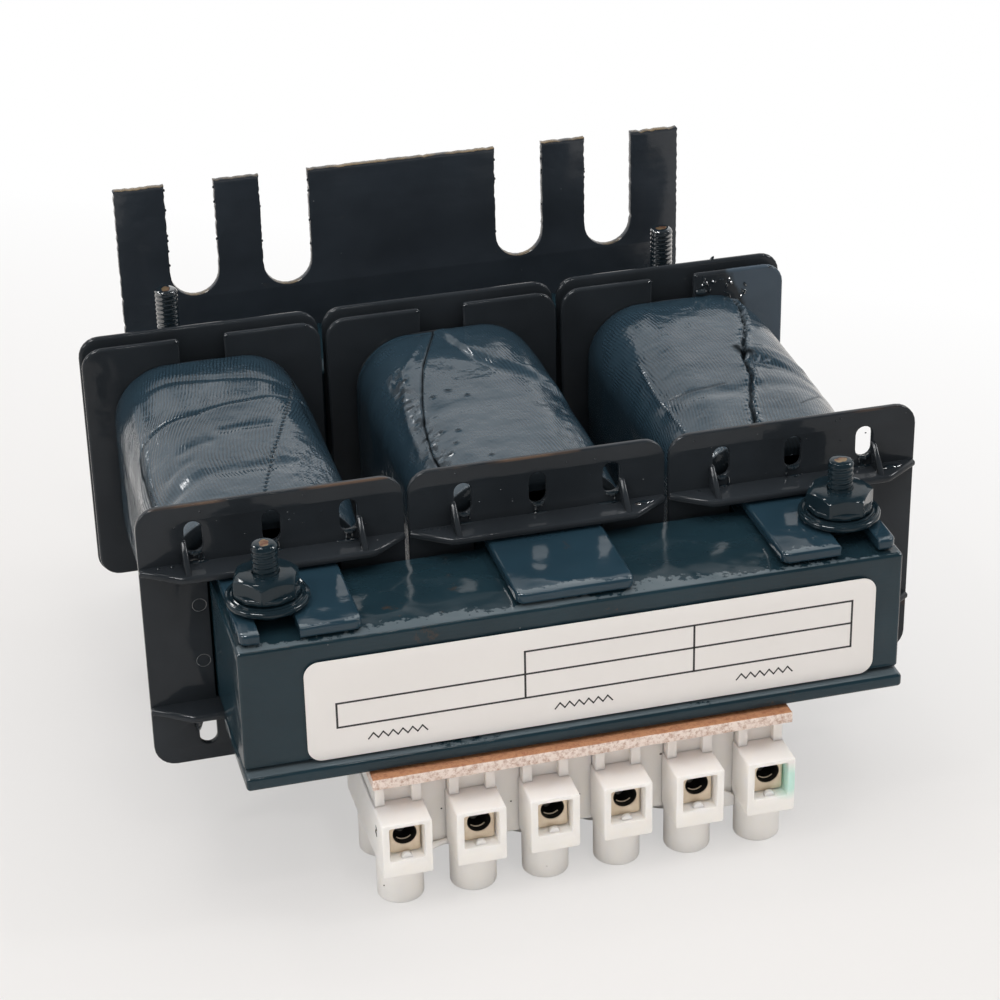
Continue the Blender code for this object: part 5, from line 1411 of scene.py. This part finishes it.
for hand in ("left", "right"):
    low_r, high_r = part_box(f"strip_rivet_{hand}")
    x, y, _ = middle_of(low_r, high_r)
    dome = [(0, 0)] + [(1.3 * MM * math.sin(a), 0.7 * MM * (1 - math.cos(a))) for a in (0.3, 0.6, 0.9, 1.2, 1.45, 1.57)]
    dome += [(0.9 * MM, 0.72 * MM), (0.9 * MM, high_r.z - low_r.z), (0, high_r.z - low_r.z)]
    rivet = linked(f"domed_rivet_{hand}", together("rivet", [turned("rivet", dome, (x, y, low_r.z), 28)]), clamp_metal)
    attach(rivet, "root")
    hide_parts(f"strip_rivet_{hand}")

# Core bolts: steel studs with hexagon nuts, each nut with a captive toothed washer over a plain one. They were
# dipped with the rest, so that varnish fills the threads and pools round the washers, and the tips are worn bare.

hardware_varnish = dip_varnish("hardware_varnish", (0.009, 0.019, 0.026), 0.09, sag=0.02, haze=0.3, gleam=0.27)
bare_steel, tree, shader = finish_of("bare_stud_tip")
place = spot(tree)
rust = noise(tree, place, 900, 4)
rust = graded(tree, rust, 0.42, 0.62)
tip_tone = between(tree, rust, (0.26, 0.18, 0.10), (0.14, 0.05, 0.03))
tree.links.new(tip_tone, shader.inputs["Base Color"])
shader.inputs["Metallic"].default_value = 0.7
shader.inputs["Roughness"].default_value = 0.42

nut_across, nut_bore = 7.94 * MM, 3.55 * MM
tooth_diameter, tooth_thickness, teeth = 8.8 * MM, 0.8 * MM, 12
washer_diameter, washer_thickness, stud_diameter = 11.1 * MM, 0.9 * MM, 3.5 * MM
nut_corner = nut_across / math.sqrt(3)
hexagons = {"front_left": 12, "front_right": -8, "rear_left": 5, "rear_right": 20}
for corner_name, spin in hexagons.items():
    low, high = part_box(f"washer_{corner_name}")
    x, y, _ = middle_of(low, high)
    rim = rounded_rectangle(washer_diameter, washer_diameter, washer_diameter / 2 - 1e-6, 12)
    hole = arc((0, 0), 2.05 * MM, 0, 360, 24)[:-1]
    ring = plate_with_edges("washer", [rim, hole], high.z - low.z, 0.36 * MM, "Z", (x, y, (low.z + high.z) / 2), 4)
    rings = [ring]
    for radius, thickness, lift in ((5.15, 0.55, 0.0), (4.55, 0.5, 0.05)):
        turns = [2 * math.pi * i / 24 for i in range(24)]
        bead = [(radius * math.cos(a), radius * math.sin(a), lift, 0.85 + 0.15 * math.sin(3 * a + spin)) for a in turns]
        rings.append(run_of_varnish((x, y, high.z - 0.08 * MM), bead, thickness, closed=True))
    washer = linked(f"plain_washer_{corner_name}", together("washer", rings), hardware_varnish)
    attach(washer, "root")
    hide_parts(f"washer_{corner_name}")

    low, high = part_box(f"nut_{corner_name}")
    nut_height = high.z - low.z - 0.3 * MM
    nut_z = high.z - nut_height / 2
    hexagon = arc((0, 0), nut_corner, 0, 360, 6)[:-1]
    block = plate_with_edges("nut", [hexagon], nut_height * 2, 0.25 * MM, "Z", (0, 0, 0), 3)
    block.transform(Matrix.Translation((x, y, nut_z)) @ Matrix.Rotation(math.radians(spin), 4, "Z"))
    r = nut_across / 2
    cap = [(0, nut_height / 2), (r * 0.86, nut_height / 2), (r * 0.97, nut_height / 2 - 0.12 * MM)]
    cap += [(nut_corner * 0.98, nut_height / 2 - 0.55 * MM), (nut_corner + 0.3 * MM, nut_height / 2 - 1.1 * MM)]
    cap += [(nut_corner + 0.3 * MM, -nut_height / 2), (0, -nut_height / 2)]
    dome = linked("dome", turned("dome", cap, (x, y, nut_z), 48))
    body = linked("nut", block)
    meet = body.modifiers.new("meet", "BOOLEAN")
    meet.operation = "INTERSECT"
    meet.object = dome
    hexed = drawn_mesh(body)
    bpy.data.objects.remove(dome)
    hexed = without("nut", hexed, [rod("bore", nut_bore, 12 * MM, (x, y, nut_z), 24)])
    star = []
    for tooth in range(teeth):
        middle_angle, quarter = 360 / teeth * tooth + spin, 90 / teeth
        star += arc((0, 0), tooth_diameter / 2, middle_angle - quarter, middle_angle + quarter, 2)
        star += arc((0, 0), tooth_diameter / 2 - 0.1 * MM, middle_angle + 1.5 * quarter, middle_angle + 2.5 * quarter, 2)
    collar = plate_with_edges(
        "teeth", [star, hole], tooth_thickness, 0.15 * MM, "Z", (x, y, low.z + tooth_thickness / 2), 2
    )
    nut = linked(f"hexagon_nut_{corner_name}", together("nut", [hexed, collar], 32), hardware_varnish)
    ease = nut.modifiers.new("rounded_by_varnish", "BEVEL")
    ease.width = 0.14 * MM
    ease.segments = 3
    ease.angle_limit = math.radians(32)
    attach(nut, "root")
    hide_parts(f"nut_{corner_name}")

    low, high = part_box(f"bolt_{corner_name}")
    head_height = 2.4 * MM
    shank = threaded("stud", stud_diameter, 0.72 * MM, low.z + head_height - 0.3 * MM, high.z, (x, y), 24, 0.06)
    head = arc((0, 0), 6.35 * MM / math.sqrt(3), 30, 390, 6)[:-1]
    head = plate_with_edges("head", [head], head_height, 0.3 * MM, "Z", (x, y, low.z + head_height / 2), 3)
    wet_look = pooled_varnish if corner_name.startswith("rear") else hardware_varnish
    bolt = linked(f"threaded_bolt_{corner_name}", together("bolt", [shank, head]), wet_look, bare_steel)
    for face in bolt.data.polygons:
        if face.center.z > high.z - 0.05 * MM and len(face.vertices) > 4:
            face.material_index = 1
    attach(bolt, "root")
    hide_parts(f"bolt_{corner_name}")

# Leads: two from each winding, in woven glass sleeving soaked in varnish. They leave the coils underneath, pass
# below the front flange and go into the rear of the clamps.

sleeving, tree, shader = finish_of("glass_sleeving")
place = spot(tree)
braid = node(tree, "ShaderNodeTexWave", Vector=place, bands_direction="DIAGONAL", Scale=900, Distortion=3)
braid_tone = between(tree, braid.outputs["Fac"], (0.34, 0.27, 0.16), (0.62, 0.54, 0.38))
tree.links.new(braid_tone, shader.inputs["Base Color"])
roughen(tree, shader, braid.outputs["Fac"], 0.7, 0.08 * MM)
shader.inputs["Roughness"].default_value = 0.5
for phase, coil_x in phases:
    for hand in ("start", "finish"):
        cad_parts[f"lead_{phase}_{hand}"].material_slots[0].material = sleeving
        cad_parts[f"lead_{phase}_{hand}"].data.shade_smooth()

# Label: white plastic film stuck on the yoke, with rounded corners. It is ruled into fields, which are left bare.

label_film, tree, shader = finish_of("label_film")
place = spot(tree)
sheen = noise(tree, place, 60, 3)
paper = between(tree, sheen, (0.78, 0.755, 0.735), (0.84, 0.82, 0.80))
tree.links.new(paper, shader.inputs["Base Color"])
grain = noise(tree, place, 400, 2)
roughen(tree, shader, grain, 0.3, 0.04 * MM)
shader.inputs["Roughness"].default_value = 0.42
label_ink, tree, shader = finish_of("label_ink")
spread = noise(tree, spot(tree), 2000, 2)
coat(tree, shader, between(tree, spread, (0.012, 0.012, 0.013), (0.035, 0.034, 0.035)), 0.5)

low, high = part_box("rating_label")
x, y, z = ((a + b) / 2 for a, b in zip(low, high))
rim = rounded_rectangle(high.x - low.x, high.z - low.z, 2.0 * MM, 10)
painted_sheen_or_label_film = plate_with_edges("label", [rim], high.y - low.y, 0.05 * MM, "Y", (x, y, z), 2)
label = linked("bare_label", together("bare_label", [painted_sheen_or_label_film]), label_film)
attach(label, "root")
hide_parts("rating_label")
line, print_y = 0.28 * MM, low.y - 0.004 * MM
rules = []


def ruled(x0, z0, x1, z1, width=line):
    """A printed line between two points of the label, from its lower left corner, in millimetres."""
    start = Vector((low.x + x0 * MM, low.z + z0 * MM))
    end = Vector((low.x + x1 * MM, low.z + z1 * MM))
    along = (end - start).normalized() * width / 2
    across = Vector((-along.y, along.x))
    corners = [start - along - across, end + along - across, end + along + across, start - along + across]
    outline = [tuple(corner) for corner in corners]
    rules.append(plate_with_edges("rule", [outline], 0.012 * MM, 0.002 * MM, "Y", (0, print_y, 0), 1))


for x0, x1, z0 in ((29, 74, 11.6), (4, 74, 8.2), (4, 74, 4.6)):
    ruled(x0, z0, x1, z0)
for x0, z0, z1 in ((29, 4.6, 11.6), (52, 4.6, 11.6), (74, 4.6, 11.6), (4, 4.6, 8.2)):
    ruled(x0, z0, x0, z1)
for x0 in (8, 33, 58):
    for tooth in range(6):
        ruled(x0 + tooth * 1.3, 2.2, x0 + tooth * 1.3 + 0.65, 3.0, 0.2 * MM)
        ruled(x0 + tooth * 1.3 + 0.65, 3.0, x0 + tooth * 1.3 + 1.3, 2.2, 0.2 * MM)
printed = linked("label_rules", together("label_rules", rules), label_ink)
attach(printed, "root")
